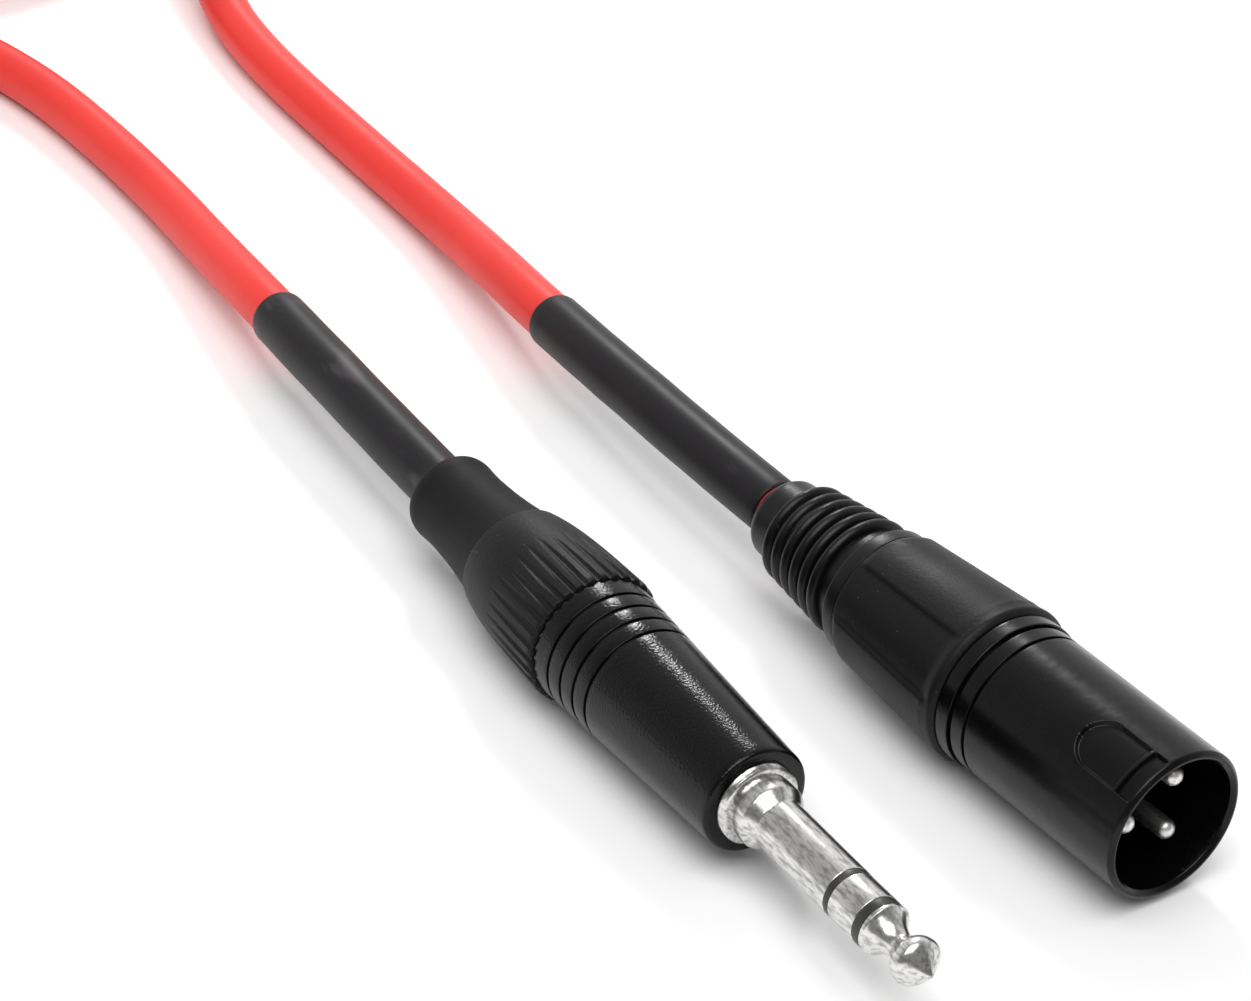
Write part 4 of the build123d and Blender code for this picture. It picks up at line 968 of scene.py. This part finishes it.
def nut_shape(radius, back, angle):
    if radius < 7.2 or back < BARREL_REAR:
        return radius
    across = (angle / 360 * FLUTES + 0.5) % 1 - 0.5
    across = abs(across) * 2 * math.pi * NUT_LIP_R / FLUTES
    if across >= FLUTE_R:
        return radius
    return min(radius, NUT_LIP_R - math.sqrt(FLUTE_R**2 - across**2))


nut_black = surface("nut_satin", Specular_Ior_Level=0.2)
nut_skin = place_effect(nut_black, skin, Grain=2400.0, Patch=150.0)
nut_scuff = place_effect(nut_black, scuff, Scale=300.0, Turn=0.06, Amount=0.64)
nut_dust = place_effect(nut_black, speck, Scale=1500.0, Size=0.16, Share=0.10)
nut_marks = node_in(nut_black.node_tree, "ShaderNodeMath", [(0, nut_scuff, "Mask"), (1, nut_dust, "Mask")])
tinted(nut_black, nut_marks, "Value", (0.005, 0.005, 0.0055), (0.05, 0.05, 0.054), 0.0, 1.6)
roughened(nut_black, nut_skin, "Patches", 0.38, 0.56)
bump(nut_black, nut_skin, "Height", 0.6, 0.07)
nut_corners = [(6.08, 45.1), (6.83, 45.1, 0.1), (6.83, 52.13), (8.62, 52.13)]
nut_corners += [(nut_r(52.1 + 0.5 * k) - 0.12 * (k < 1), 52.18 + 0.498 * k) for k in range(36)]
nut_corners += [(nut_r(NUT_REAR), NUT_REAR, 0.25), (4.98, NUT_REAR), (4.98, 66.6), (5.4, 66.6), (6.08, 56.2)]
turned(
    "nut_jack", JACK, nut_corners, nut_black, "jack_bushing", "nut_black", "jack_nut", FLUTES * 14, None,
    nut_shape
)

# ------------------------------------------------------------------ the jack's boot
# A short matt rubber sleeve in the end of the nut. It is waisted, and its rounded rear end flares round
# the heat-shrink.
jack_boot_corners = [(4.15, 66.9), (4.95, 66.9), (4.95, 70.13)] + smooth_line([
    (6.85, 70.13), (6.9, 70.4), (6.66, 71.8), (6.25, 74.8), (5.93, 78.0), (5.75, 81.5), (5.76, 83.6),
    (5.84, 85.0), (5.72, 85.95), (5.35, 86.55), (4.75, 86.8), (4.3, 86.78), (4.15, 86.6),
])
jack_boot_black = surface("jack_boot_rubber", Specular_Ior_Level=0.15)
jack_boot_skin = place_effect(jack_boot_black, skin, Grain=2800.0, Patch=170.0)
jack_boot_scuff = place_effect(jack_boot_black, scuff, Scale=280.0, Turn=0.5, Amount=0.64)
tinted(jack_boot_black, jack_boot_scuff, "Mask", (0.007, 0.007, 0.0075), (0.035, 0.035, 0.037), 0.0, 1.0)
roughened(jack_boot_black, jack_boot_skin, "Patches", 0.48, 0.66)
bump(jack_boot_black, jack_boot_skin, "Height", 0.5, 0.05)
turned("boot_jack", JACK, jack_boot_corners, jack_boot_black, "jack_bushing", "boot_black", "jack_boot", 128)
